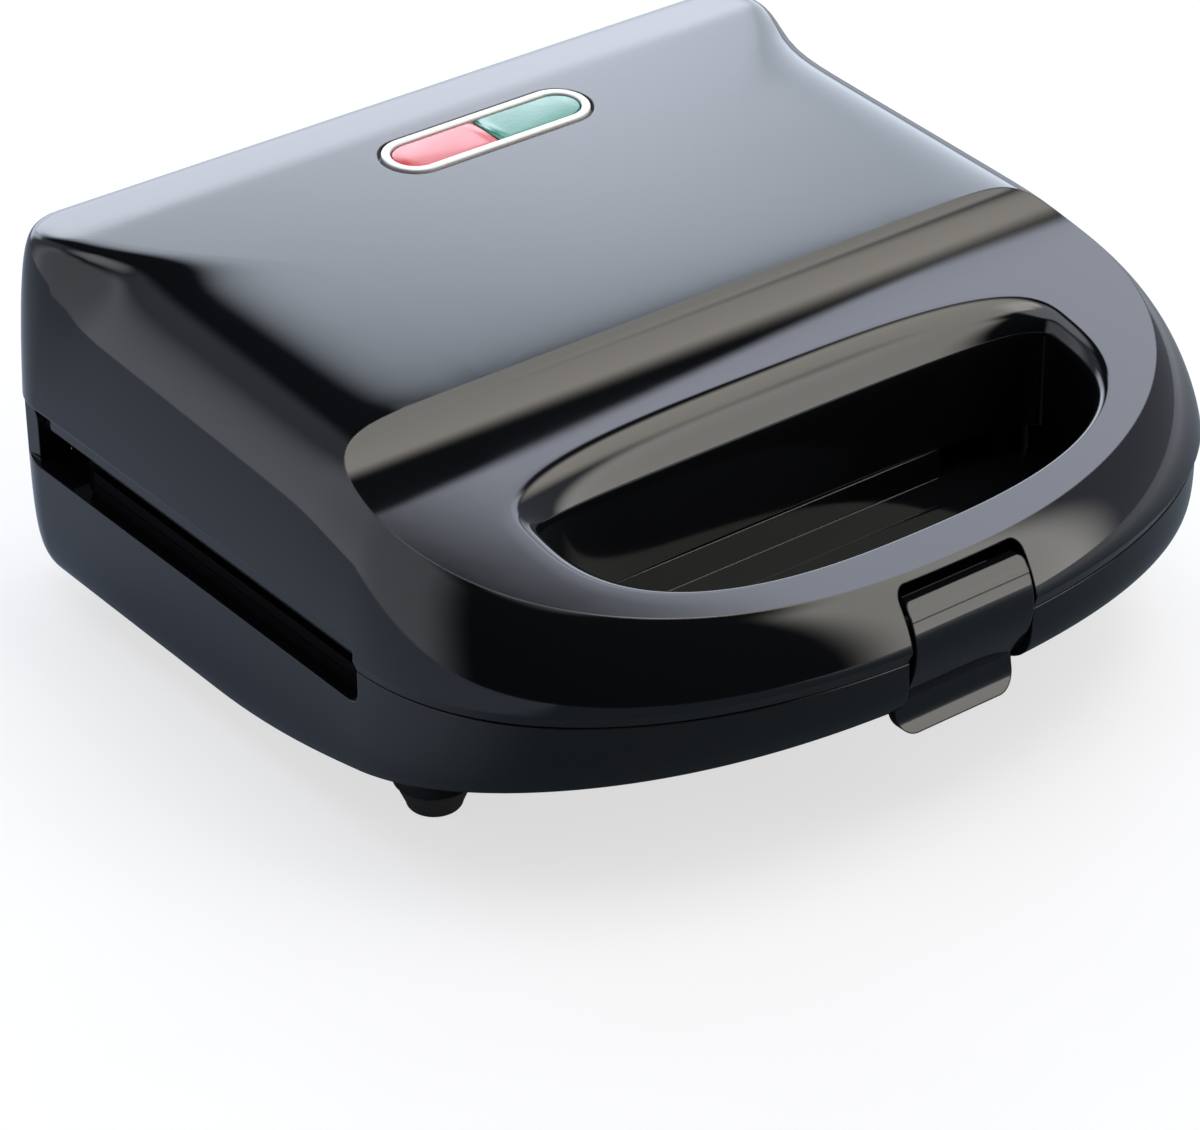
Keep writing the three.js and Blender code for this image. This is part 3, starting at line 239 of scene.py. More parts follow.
def turned(profile: Sequence[Range], sides: int = 72) -> Solid:
    """A solid of revolution about Z.

    Args:
        profile: [radius, height] points from the axis back to the axis, bottom first.
        sides: how many steps make a full turn.

    Returns:
        The closed solid.
    """
    angle = np.linspace(0, 2 * np.pi, sides, endpoint=False)
    spin = np.stack([np.cos(angle), np.sin(angle)], -1)
    rings = np.array(profile[1:-1], float)
    heights = np.broadcast_to(rings[:, None, 1:], (len(rings), sides, 1))
    return loft(np.concatenate([rings[:, None, :1] * spin, heights], -1))


class Plane(Enum):
    """The two axes that a shape is drawn in, and the one that it is extruded along."""

    XY = (0, 1, 2)
    YZ = (1, 2, 0)
    XZ = (0, 2, 1)


def extruded(shape: np.ndarray, plane: Plane, span: Range) -> Solid:
    """A flat outline carried square to its plane.

    Args:
        shape: outline points of shape (n, 2), counter-clockwise.
        plane: the plane that the outline is drawn in.
        span: where the solid starts and ends along the third axis.

    Returns:
        The closed solid.
    """
    count = len(shape)
    points = np.zeros((2 * count, 3))
    u, v, w = plane.value
    points[:, u] = np.tile(shape[:, 0], 2)
    points[:, v] = np.tile(shape[:, 1], 2)
    points[:, w] = np.repeat(span, count)
    sides = quads(np.array([0]), np.array([count]), count)
    faces = [*sides, list(range(count))[::-1], list(range(count, 2 * count))]
    if plane is Plane.XZ:
        faces = [face[::-1] for face in faces]
    return Solid.of(points, faces)


def box(across: Range, along: Range, up: Range) -> Solid:
    """A plain block, used only to join and to cut."""
    corners = [(across[0], along[0]), (across[1], along[0]), (across[1], along[1]), (across[0], along[1])]
    return extruded(np.array(corners), Plane.XY, up)


def rod(axis: Plane, radius: float, middle: Range, span: Range, sides: int = 48) -> Solid:
    """A round bar square to a plane, through a point of that plane."""
    angle = np.linspace(0, 2 * np.pi, sides, endpoint=False)
    circle = np.stack([middle[0] + radius * np.cos(angle), middle[1] + radius * np.sin(angle)], -1)
    return extruded(circle, axis, span)


def rounded_rectangle(across: Range, up: Range, lower: float, upper: float, steps: int = 10) -> np.ndarray:
    """A rectangle with rounded corners.

    Args:
        across: its extent on the first axis.
        up: its extent on the second axis.
        lower: radius of the two lower corners.
        upper: radius of the two upper corners.
        steps: steps of a corner.

    Returns:
        Points of shape (n, 2), counter-clockwise.
    """
    turn = np.linspace(0, np.pi / 2, steps + 1)
    corners = [
        (across[1] - lower, up[0] + lower, lower, -np.pi / 2),
        (across[1] - upper, up[1] - upper, upper, 0.0),
        (across[0] + upper, up[1] - upper, upper, np.pi / 2),
        (across[0] + lower, up[0] + lower, lower, np.pi),
    ]
    bends = [np.stack([x + r * np.cos(turn + a), y + r * np.sin(turn + a)], -1) for x, y, r, a in corners]
    return np.concatenate(bends)


def pill(length: float, width: float, steps: int = 28) -> np.ndarray:
    """A straight-sided outline with two half-round ends, as (n, 2) points."""
    radius = width / 2
    turn = np.linspace(-np.pi / 2, np.pi / 2, steps + 1)
    right = np.stack([length / 2 - radius + radius * np.cos(turn), radius * np.sin(turn)], -1)
    return np.concatenate([right, -right])


def stacked(outlines: Sequence[np.ndarray], heights: Sequence[float]) -> np.ndarray:
    """Outlines lifted to heights, as loops for a loft."""
    return np.stack([np.column_stack([o, np.full(len(o), h)]) for o, h in zip(outlines, heights)])


def parabola(start: Range, middle: Range, end: Range, steps: int = 24) -> np.ndarray:
    """Points on the parabola from start to end whose tangents meet at the middle."""
    t = np.linspace(0, 1, steps + 1)[:, None]
    return (1 - t) ** 2 * np.array(start) + 2 * t * (1 - t) * np.array(middle) + t**2 * np.array(end)


@dataclass(frozen=True)
class BodyForm:
    """Plan and heights that the lid and the base share, in millimetres."""

    half_width: float = 115.0
    front: float = -110.0
    rear: float = 110.0
    shoulder: float = -34.0
    corner_radius: float = 17.0
    centre: float = 10.0
    nose_power: float = 2.23
    seam: float = 47.0
    seam_inset: float = 1.0
    wall: float = 2.6
    panel_height: float = 90.4
    panel_slope: float = 0.0526
    slot_front: float = -37.0
    slot_round: float = 4.0

    def plan(self, inset: float, rear: float, fine: bool = True) -> np.ndarray:
        """Plan of the body set in by a distance.

        The nose is half a superellipse, the sides are straight and the rear corners are quarter circles.

        Args:
            inset: how far the plan is set in.
            rear: where the uninset plan ends behind.
            fine: whether it has the points for a surface that shows.

        Returns:
            Points of shape (n, 2), counter-clockwise from the left shoulder.
        """
        nose, side, corner, back = (180, 26, 18, 26) if fine else (48, 6, 6, 4)
        half, reach = self.half_width - inset, self.shoulder - self.front - inset
        radius = max(self.corner_radius - inset, inset)
        end = rear - inset
        x, y = superellipse(np.pi * (1 + np.arange(nose) / nose), half, reach, self.nose_power)
        run = np.arange(side) / side
        turn = (np.pi / 2) * np.arange(corner) / corner
        out, on = radius * np.cos(turn), radius * np.sin(turn)
        stretches = [
            (x, self.shoulder + y),
            (np.full(side, half), blend(self.shoulder, end - radius, run)),
            (half - radius + out, end - radius + on),
            (blend(half - radius, radius - half, np.arange(back) / back), np.full(back, end)),
            (radius - half - on, end - radius + out),
            (np.full(side, -half), blend(end - radius, self.shoulder, run)),
        ]
        return np.concatenate([np.stack(stretch, -1) for stretch in stretches])

    def panel_at(self, y: np.ndarray) -> np.ndarray:
        """Height of the top panel over Y."""
        return self.panel_height + self.panel_slope * y

    def shrunk(self, plan: np.ndarray, rho: np.ndarray) -> tuple[np.ndarray, np.ndarray]:
        """The plan drawn in towards the body's middle by rho, as X and Y."""
        return plan[:, 0] * rho, self.centre + (plan[:, 1] - self.centre) * rho

    def prism(self, inset: float, rear: float, up: Range) -> Solid:
        """The plan as an upright prism."""
        plan = self.plan(inset, rear, fine=False)
        return loft(stacked([plan, plan], up))

    def profile(self, shape: np.ndarray) -> Solid:
        """A side view's outline carried well past both sides of the body."""
        return extruded(shape, Plane.YZ, (-2 * self.half_width, 2 * self.half_width))

    def slab(self, along: float, up: Range) -> Solid:
        """A block across the whole width, from a place along the body out past the rear."""
        return box((-2 * self.half_width, 2 * self.half_width), (along, self.rear + OVERRUN), up)

    def slot(self, sill: float, far: float) -> Solid:
        """The side and rear slot from its sill to a far height, with a rounded front end.

        Args:
            sill: height of the slot's edge.
            far: a height past the slot's open side.

        Returns:
            The slot's room as a solid.
        """
        rise = math.copysign(self.slot_round, far - sill)
        turn = np.linspace(0, 1, 9)
        bend = np.stack([self.slot_front + self.slot_round * turn**2, sill + rise * (1 - turn) ** 2], -1)
        end = self.rear + OVERRUN
        shape = np.concatenate([[[self.slot_front, far]], bend, [[end, sill], [end, far]]])
        return self.profile(shape[::-1] if rise < 0 else shape)


FORM = BodyForm()


@dataclass(frozen=True)
class PlateMount:
    """Where the cooking plates, their screws and the reflectors' posts sit, in millimetres."""

    half_width: float = 104.0
    front: float = -28.0
    rear: float = 94.0
    corner: float = 8.0
    ledge: float = 2.2
    parting: float = 42.4
    screw_rows: tuple[float, ...] = (-20.0, 20.5, 61.0)
    boss_radius: float = 4.5
    boss_end: float = 3.45
    screw_radius: float = 1.5
    screw_length: float = 12.0
    post_radius: float = 4.0
    post_across: float = 60.0
    post_along: tuple[float, ...] = (10.0, 56.0)
    reflector_seat: float = 24.05

    def opening(self, up: Range) -> Solid:
        """The opening in a deck for the plate's pockets."""
        half = self.half_width - self.ledge
        along = (self.front + self.ledge, self.rear - self.ledge)
        return extruded(rounded_rectangle((-half, half), along, self.corner, self.corner), Plane.XY, up)

    def posts(self, radius: float, places: Sequence[Range], up: Range) -> list[Solid]:
        """Round posts at places in plan."""
        return [rod(Plane.XY, radius, place, up, 24) for place in places]

    def bosses(self, up: Range) -> list[Solid]:
        """The bosses that the plate's screws go into."""
        return self.posts(self.boss_radius, [(0.0, y) for y in self.screw_rows], up)

    def bores(self, up: Range) -> list[Solid]:
        """The bores for the plate's screws."""
        return self.posts(self.screw_radius + GAP, [(0.0, y) for y in self.screw_rows], up)

    def seats(self, up: Range) -> list[Solid]:
        """Posts under the corners of a reflector."""
        places = [(x, y) for x in (-self.post_across, self.post_across) for y in self.post_along]
        return self.posts(self.post_radius, places, up)


@dataclass(frozen=True)
class LatchSeat:
    """The recess for the latch in both mouldings and the pin that it turns on, in millimetres."""

    half_width: float = 18.0
    back: float = -97.0
    top: float = 63.0
    corner: float = 3.0
    pivot: Range = (-104.8, 55.4)
    pin_radius: float = 1.2
    pin_reach: float = 20.6

    def recess(self, grow: float) -> Solid:
        """The recess, or the same grown by a wall."""
        half = self.half_width + grow
        shape = rounded_rectangle((-half, half), (-OVERRUN, self.top + grow), self.corner, self.corner)
        return extruded(shape, Plane.XZ, (FORM.front - OVERRUN, self.back + grow))

    def bore(self, reach: float) -> Solid:
        """The pin's bore, out to a distance on both sides."""
        return rod(Plane.YZ, self.pin_radius + GAP, self.pivot, (-reach, reach))


@dataclass(frozen=True)
class FingerHole:
    """The finger hole's outline and the radii of its rim behind, beside and in front, in millimetres."""

    half: float = 78.7
    middle: float = -53.0
    front: float = 39.4
    rear: float = 20.6
    front_power: float = 2.55
    rear_power: float = 3.2
    rear_round: float = 10.0
    side_round: float = 5.0
    front_round: float = 1.5


@dataclass(frozen=True)
class Foot:
    """The turned rubber feet, each with the stem that holds it, in millimetres."""

    names: tuple[str, ...] = ("front_left", "front_right", "rear_left", "rear_right")
    places: tuple[Range, ...] = ((-91.0, -32.0), (91.0, -32.0), (-91.0, 93.0), (91.0, 93.0))
    flat: float = 2.5
    tread: float = 6.6
    tread_round: float = 1.5
    head: float = 8.6
    head_round: float = 0.8
    height: float = 7.0
    stem: float = 2.8
    stem_length: float = 4.5
    seat_margin: float = 0.8

    def build(self, finish: Material) -> None:
        """The four feet, riding on the base, with their edges rounded."""
        turn = np.linspace(0, np.pi / 2, 7)
        low, high = self.tread_round, self.head_round
        lower = [(self.tread - low * (1 - math.sin(a)), low * (1 - math.cos(a))) for a in turn]
        rim = self.height - high
        upper = [(self.head - high * (1 - math.cos(a)), rim + high * math.sin(a)) for a in turn]
        tip = self.height + self.stem_length
        stem = [(self.stem, self.height), (self.stem, tip), (0.0, tip)]
        profile = [(0.0, 0.0), (self.flat, 0.0), *lower, *upper, *stem]
        for name, (x, y) in zip(self.names, self.places):
            solid = turned(profile).moved(Matrix.Translation((x, y, 0.0)))
            foot = solid.piece("rubber_foot_" + name, "base", finish, 40.0)
            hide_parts("foot_" + name)


MOUNT = PlateMount()
LATCH_SEAT = LatchSeat()
HOLE = FingerHole()
FOOT = Foot()


@dataclass(frozen=True)
class Hinge:
    """Posts on the base and ears on the lid at the two rear corners, in millimetres."""

    along: float = 103.0
    height: float = 48.0
    post_radius: float = 6.5
    post: Range = (103.5, 112.0)
    post_foot: float = 8.0
    ear: Range = (97.2, 103.2)
    ear_radius: float = 6.0
    ear_height: float = 12.0
    pin_radius: float = 2.0
    pin_inset: float = 5.0
    opening: float = math.radians(100)

    @property
    def axis(self) -> Range:
        """The pins' place in a side view."""
        return (self.along, self.height)

    def on_side(self, side: int, span: Range) -> Range:
        """A range of distances from the middle, on one side of it."""
        return span if side > 0 else (-span[1], -span[0])

    def strip(self, angle: float, across: Range) -> Solid:
        """The room that a post needs on one side of the pin, turned about it by an angle."""
        radius = self.post_radius + GAP
        down = np.array([math.sin(angle), -math.cos(angle)]) * OVERRUN
        aside = np.array([math.cos(angle), math.sin(angle)]) * radius
        left, right = np.array(self.axis) - aside, np.array(self.axis) + aside
        return extruded(np.array([left, left + down, right + down, right]), Plane.YZ, across)

    def on_lid(self, shell: Solid, rear: float) -> Solid:
        """The lid with its ears added and room cut for the posts and pins."""
        for side in (-1, 1):
            ear = self.on_side(side, self.ear)
            arm = box(ear, (self.along - self.ear_radius, rear), (self.height, self.height + self.ear_height))
            shell = shell.add(arm, rod(Plane.YZ, self.ear_radius, self.axis, ear))
            post = self.on_side(side, (self.ear[1], 2 * FORM.half_width))
            knuckle = rod(Plane.YZ, self.post_radius + GAP, self.axis, post)
            bore = self.on_side(side, (self.ear[0] - GAP, self.post[0]))
            pin = rod(Plane.YZ, self.pin_radius + GAP, self.axis, bore)
            shell = shell.cut(knuckle, self.strip(0.0, post), self.strip(self.opening, post), pin)
        return shell

    def on_base(self, shell: Solid, foot: float) -> Solid:
        """The base with its posts added and bored for the pins."""
        up = (self.post_foot, FORM.seam + OVERRUN)
        corner = FORM.prism(FORM.seam_inset, FORM.rear + FORM.seam_inset, up)
        along = (self.along - self.post_radius, self.along + self.post_radius)
        for side in (-1, 1):
            post = self.on_side(side, self.post)
            shaft = box(post, along, (foot, self.height))
            knuckle = rod(Plane.YZ, self.post_radius, self.axis, post)
            bore = self.on_side(side, (self.ear[1], self.post[1] - self.pin_inset + GAP))
            shell = shell.add(shaft.add(knuckle).meet(corner))
            shell = shell.cut(rod(Plane.YZ, self.pin_radius + GAP, self.axis, bore))
        return shell


@dataclass(frozen=True)
class Window:
    """The indicator's window in the panel, in millimetres, in a frame tilted with the panel."""

    length: float = 59.0
    width: float = 16.5
    place: Range = (8.0, 79.0)
    groove: float = 0.9
    rim: float = 2.2
    proud: float = 0.5
    ease: float = 0.35
    depth: float = 4.6
    flange: float = 2.2
    ledge: float = 0.9
    ledge_height: float = 1.2
    lens_thickness: float = 3.2
    lens_drops: Range = (0.45, 0.18)
    lens_crown: float = 0.2

    def matrix(self) -> Matrix:
        """The window's frame: its middle on the panel, tilted with it."""
        tilt = Matrix.Rotation(math.atan(FORM.panel_slope), 4, "X")
        return Matrix.Translation((*self.place, FORM.panel_at(self.place[1]))) @ tilt

    def opening(self) -> Solid:
        """The opening in the panel."""
        shape = pill(self.length + 2 * self.groove, self.width + 2 * self.groove)
        return extruded(shape, Plane.XY, (-self.depth, OVERRUN)).moved(self.matrix())

    def bezel(self) -> Solid:
        """The bezel, a stepped profile with an eased top edge carried round the window's outline."""
        top, foot, ease = self.proud, -self.depth, self.ease
        skirt, flange_top = self.groove + self.flange, -FORM.wall - GAP
        turn = np.linspace(0, np.pi / 2, 6)
        outer = [(ease * (1 - math.cos(a)), top - ease * (1 - math.sin(a))) for a in turn]
        inner = [(self.rim - ease * (1 - math.sin(a)), top - ease * (1 - math.cos(a))) for a in turn]
        ledge, ledge_top = self.rim + self.ledge, foot + self.ledge_height
        profile = [(-skirt, foot), (-skirt, flange_top), (0.0, flange_top), *outer, *inner]
        profile += [(self.rim, ledge_top), (ledge, ledge_top), (ledge, foot)]
        outlines = [pill(self.length - 2 * i, self.width - 2 * i) for i, _ in profile]
        return hoop(stacked(outlines, [z for _, z in profile])).moved(self.matrix())

    def lens(self, side: int) -> Solid:
        """One half of the lens, gently crowned, with eased edges.

        Loops of the half outline shrink towards its middle while the height follows a parabola of the
        share that is left.

        Args:
            side: minus one for the left half and one for the right.

        Returns:
            The closed solid.
        """
        fit = 2 * self.rim + 2 * GAP
        foot = self.ledge_height - self.depth + GAP
        top = foot + self.lens_thickness
        whole = pill(self.length - fit, self.width - fit, 40)
        half = whole[whole[:, 0] * side > 0]
        x, y = side * GAP / 2, half[:, 1].max()
        ends = [[[x, -y]], half, [[x, y]]] if side > 0 else [[[x, y]], half, [[x, -y]]]
        outline = np.concatenate(ends)
        centre = outline.mean(axis=0)
        crown_shares = (0.95, 0.85, 0.7, 0.5, 0.3, 0.12)
        shares = (1.0, 1.0, 0.985, *crown_shares)
        crown = [top + self.lens_crown * (1 - s**2) for s in crown_shares]
        heights = [foot, *(top - drop for drop in self.lens_drops), *crown]
        return loft(stacked([centre + (outline - centre) * s for s in shares], heights)).moved(self.matrix())


HINGE = Hinge()
WINDOW = Window()


@dataclass(frozen=True)
class LidShell:
    """The lid's moulded shell, in millimetres."""

    finish: Material
    widest: float = 50.0
    ring_height: float = 87.1
    ring_slope: float = 0.225
    ring_lift: float = 5.9
    strip_slope: float = -0.03
    ridge: float = 93.5
    front_power: float = 13.8
    side_power: float = 16.0
    rear_power: float = 200.0
    rear_growth: float = 22.0
    rise_power: float = 1.25
    band_top: float = -11.0
    band_run: float = 21.0
    band_lean: float = 2.0
    crossing_round: float = 0.5
    ridge_round: float = 0.04
    slot_lip: float = 54.5
    slot_recess: float = 4.5
    liner: float = 3.0
    ray_share: float = 2.2

    @property
    def foot(self) -> float:
        """Height of the lid's lower edge."""
        return FORM.seam + GAP / 2

    @property
    def under(self) -> float:
        """A height well below the lid."""
        return self.foot - OVERRUN

    @property
    def over(self) -> float:
        """A height well above the lid."""
        return FORM.panel_at(FORM.rear) + OVERRUN

    def ring_at(self, y: np.ndarray) -> np.ndarray:
        """Height of the grip's face over Y."""
        return self.ring_height + self.ring_slope * y

    def crown_at(self, y: np.ndarray) -> np.ndarray:
        """Height of the crown: the lowest of panel, rear strip and lifted grip face, eased together."""
        strip = FORM.panel_at(self.ridge) + self.strip_slope * (y - self.ridge)
        top = soft_min(FORM.panel_at(y), strip, self.ridge_round)
        return soft_min(top, self.ring_at(y) + self.ring_lift, self.crossing_round)

    def grip_at(self, y: np.ndarray) -> np.ndarray:
        """Height of the grip's face and of the concave band behind it.

        The band is the parabola through the foot and the top whose tangents meet near the top, written as
        a height over Y by solving its quadratic for the parameter.

        Args:
            y: places along the body.

        Returns:
            The height at each place.
        """
        foot = self.band_top - self.band_run
        bend = self.band_top - self.band_lean
        a = foot - 2 * bend + self.band_top
        b = 2 * (bend - foot)
        t = (-b + np.sqrt(b * b - 4 * a * (foot - np.clip(y, foot, self.band_top)))) / (2 * a)
        low, mid, high = self.ring_at(foot), self.ring_at(bend), FORM.panel_at(self.band_top)
        band = (1 - t) ** 2 * low + 2 * t * (1 - t) * mid + t**2 * high
        return np.where(y <= foot, self.ring_at(y), band)

    def pillow(self, wall: float, below: float, fine: bool) -> Solid:
        """The lid's rounded block, or its inside one wall in.

        A row of the surface draws the plan in by rho and rises by a share of the crown's height, where
        rho^n + rise^m = 1 and n grows from the soft nose to the crisp ridge.

        Args:
            wall: how far the surface is set in.
            below: how far it reaches under the lid's lower edge.
            fine: whether it has the points for a surface that shows.

        Returns:
            The closed solid.
        """
        plan = FORM.plan(wall, FORM.rear, fine)
        rows, inner_rows = (56, 60) if fine else (14, 8)
        nose = (plan[:, 1] - FORM.front) / (FORM.shoulder - FORM.front)
        back = ((plan[:, 1] - FORM.shoulder) / (FORM.rear - FORM.shoulder)).clip(0) ** self.rear_growth
        front_power = blend(self.front_power, self.side_power, nose)
        rear_power = blend(self.side_power, self.rear_power, back)
        power = np.where(plan[:, 1] < FORM.shoulder, front_power, rear_power)
        angle = np.pi / 2 * (1 - np.arange(1, rows) / rows)[:, None] ** CROWDING
        rise = np.cos(angle) ** (2 / self.rise_power)
        rho = np.sin(angle) ** (2 / power)
        inner = np.linspace(1, 0, inner_rows, endpoint=False)[1:, None]
        rho = np.concatenate([rho, rho[-1] * inner])
        rise = np.concatenate([rise, np.ones_like(inner)])
        x, y = FORM.shrunk(plan, rho)
        z = blend(self.widest, self.crown_at(y) - wall, rise)
        seam_share = 1 - FORM.seam_inset / FORM.half_width
        skirt = [(seam_share, self.foot), (1.0, self.widest)]
        if below:
            skirt.insert(0, (seam_share, self.foot - below))
        lower = [np.stack([*FORM.shrunk(plan, s), np.full(len(plan), h)], -1) for s, h in skirt]
        return loft(np.concatenate([np.stack(lower), np.stack([x, y, z], -1)]))

    def hole_rings(self, wall: float, around: int, steps: int) -> np.ndarray:
        """Loops down the finger hole, the last on the grip's face.

        Each loop is a superellipse with its own reach in front and behind. Its edge rolls over on a
        quarter circle whose radius goes from the rear's over the sides' to the front's.

        Args:
            wall: how much the hole is grown, for the skin around it.
            around: points in a loop.
            steps: steps of the quarter circle.

        Returns:
            Points of shape (steps + 1, around, 3).
        """
        angle = np.linspace(0, 2 * np.pi, around, endpoint=False)
        rear = np.sin(angle) > 0
        end_round = np.where(rear, HOLE.rear_round, HOLE.front_round)
        reach = np.where(rear, HOLE.rear, HOLE.front)
        power = np.where(rear, HOLE.rear_power, HOLE.front_power)
        roll = np.linspace(np.pi / 2, 0, steps + 1)[:, None]
        half = HOLE.half - (HOLE.side_round - wall) * np.sin(roll)
        x, depth = superellipse(angle, half, reach - (end_round - wall) * np.sin(roll), power)
        y = HOLE.middle + depth
        radius = blend(end_round, HOLE.side_round, np.cos(angle) ** 2)
        z = self.ring_at(y) - wall * np.cos(roll) - radius * (1 - np.cos(roll))
        return np.stack([x, y, z], -1)

    def grip_cutter(self) -> Solid:
        """Everything above the grip's face and band, with the finger hole below it, as one smooth tool.

        Loops run from the foot of the hole over its rolled rim and then out along rays to a rectangle
        whose rear side is the band's top, at the height of the face and band under them.

        Returns:
            The closed tool.
        """
        around, steps, rays = 360, 18, 44
        hole = self.hole_rings(0.0, around, steps)
        foot = hole[:1].copy()
        foot[..., 2] = self.under
        rim = hole[-1]
        dx, dy = rim[:, 0], rim[:, 1] - HOLE.middle
        far_x = self.ray_share * FORM.half_width
        far_y = np.where(dy > 0, self.band_top - HOLE.middle, far_x)
        least = 1e-9
        scale = np.minimum(far_x / np.maximum(np.abs(dx), least), far_y / np.maximum(np.abs(dy), least))
        far = np.stack([dx * scale, HOLE.middle + dy * scale], -1)
        flat = blend(rim[:, :2], far, (np.arange(1, rays + 1) / rays)[:, None, None])
        face = np.concatenate([flat, self.grip_at(flat[..., 1])[..., None]], -1)
        ceiling = face[-1:].copy()
        ceiling[..., 2] = self.over
        return loft(np.concatenate([foot, hole, face, ceiling]))

    def inside_cutter(self, wall: float) -> Solid:
        """Everything above the inside of the grip's face and band."""
        nose = FORM.front - OVERRUN
        y = np.linspace(self.band_top - self.band_run, self.band_top, 13)
        band = np.stack([y + wall, self.grip_at(y) - wall], -1)
        ends = [[self.band_top + wall, self.over], [nose, self.over]]
        return FORM.profile(np.concatenate([[[nose, self.ring_at(nose) - wall]], band, ends]))

    def kept(self) -> Solid:
        """What is left standing inside: the walls of hole and recess, the deck, the liner and the posts."""
        hole = self.hole_rings(FORM.wall, 96, 8)
        foot, ceiling = hole[:1].copy(), hole[-1:].copy()
        foot[..., 2], ceiling[..., 2] = self.under, self.over
        liner = FORM.slab(FORM.slot_front - FORM.wall, (self.under, self.slot_lip + FORM.wall))
        liner = liner.cut(FORM.prism(self.slot_recess + self.liner, FORM.rear, (self.under - GAP, self.over)))
        deck = FORM.slab(FORM.front * 2, (self.under, self.foot + FORM.wall))
        walls = loft(np.concatenate([foot, hole, ceiling])).add(LATCH_SEAT.recess(FORM.wall), deck, liner)
        seats = MOUNT.seats((MOUNT.parting + MOUNT.reflector_seat, self.over))
        return walls.add(*MOUNT.bosses((self.under, self.over)), *seats)

    def build(self) -> Object:
        """The lid's shell, riding on the lid.

        Returns:
            The object that stands for the upper housing.
        """
        under, deck = self.under, self.foot + FORM.wall
        boss_foot = MOUNT.parting + MOUNT.boss_end
        inside = self.pillow(FORM.wall, OVERRUN, fine=False).cut(self.inside_cutter(FORM.wall), self.kept())
        core = FORM.prism(self.slot_recess, FORM.rear, (under - GAP, self.widest + OVERRUN))
        slot = FORM.slot(self.slot_lip, under).cut(core)
        opening = MOUNT.opening((under, deck + GAP)).cut(*MOUNT.bosses((under - GAP, self.widest)))
        shell = self.pillow(0.0, 0.0, fine=True)
        shell = shell.cut(self.grip_cutter(), inside, LATCH_SEAT.recess(0.0), slot, opening)
        shell = shell.cut(WINDOW.opening())
        shell = shell.add(*MOUNT.bosses((boss_foot, deck)))
        shell = shell.cut(*MOUNT.bores((boss_foot - GAP, boss_foot + MOUNT.screw_length)))
        shell = HINGE.on_lid(shell, FORM.rear - self.slot_recess)
        shell = shell.cut(LATCH_SEAT.bore(LATCH_SEAT.pin_reach))
        lid = shell.piece("lid_shell", "lid", self.finish)
        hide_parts("upper_housing")
        return lid


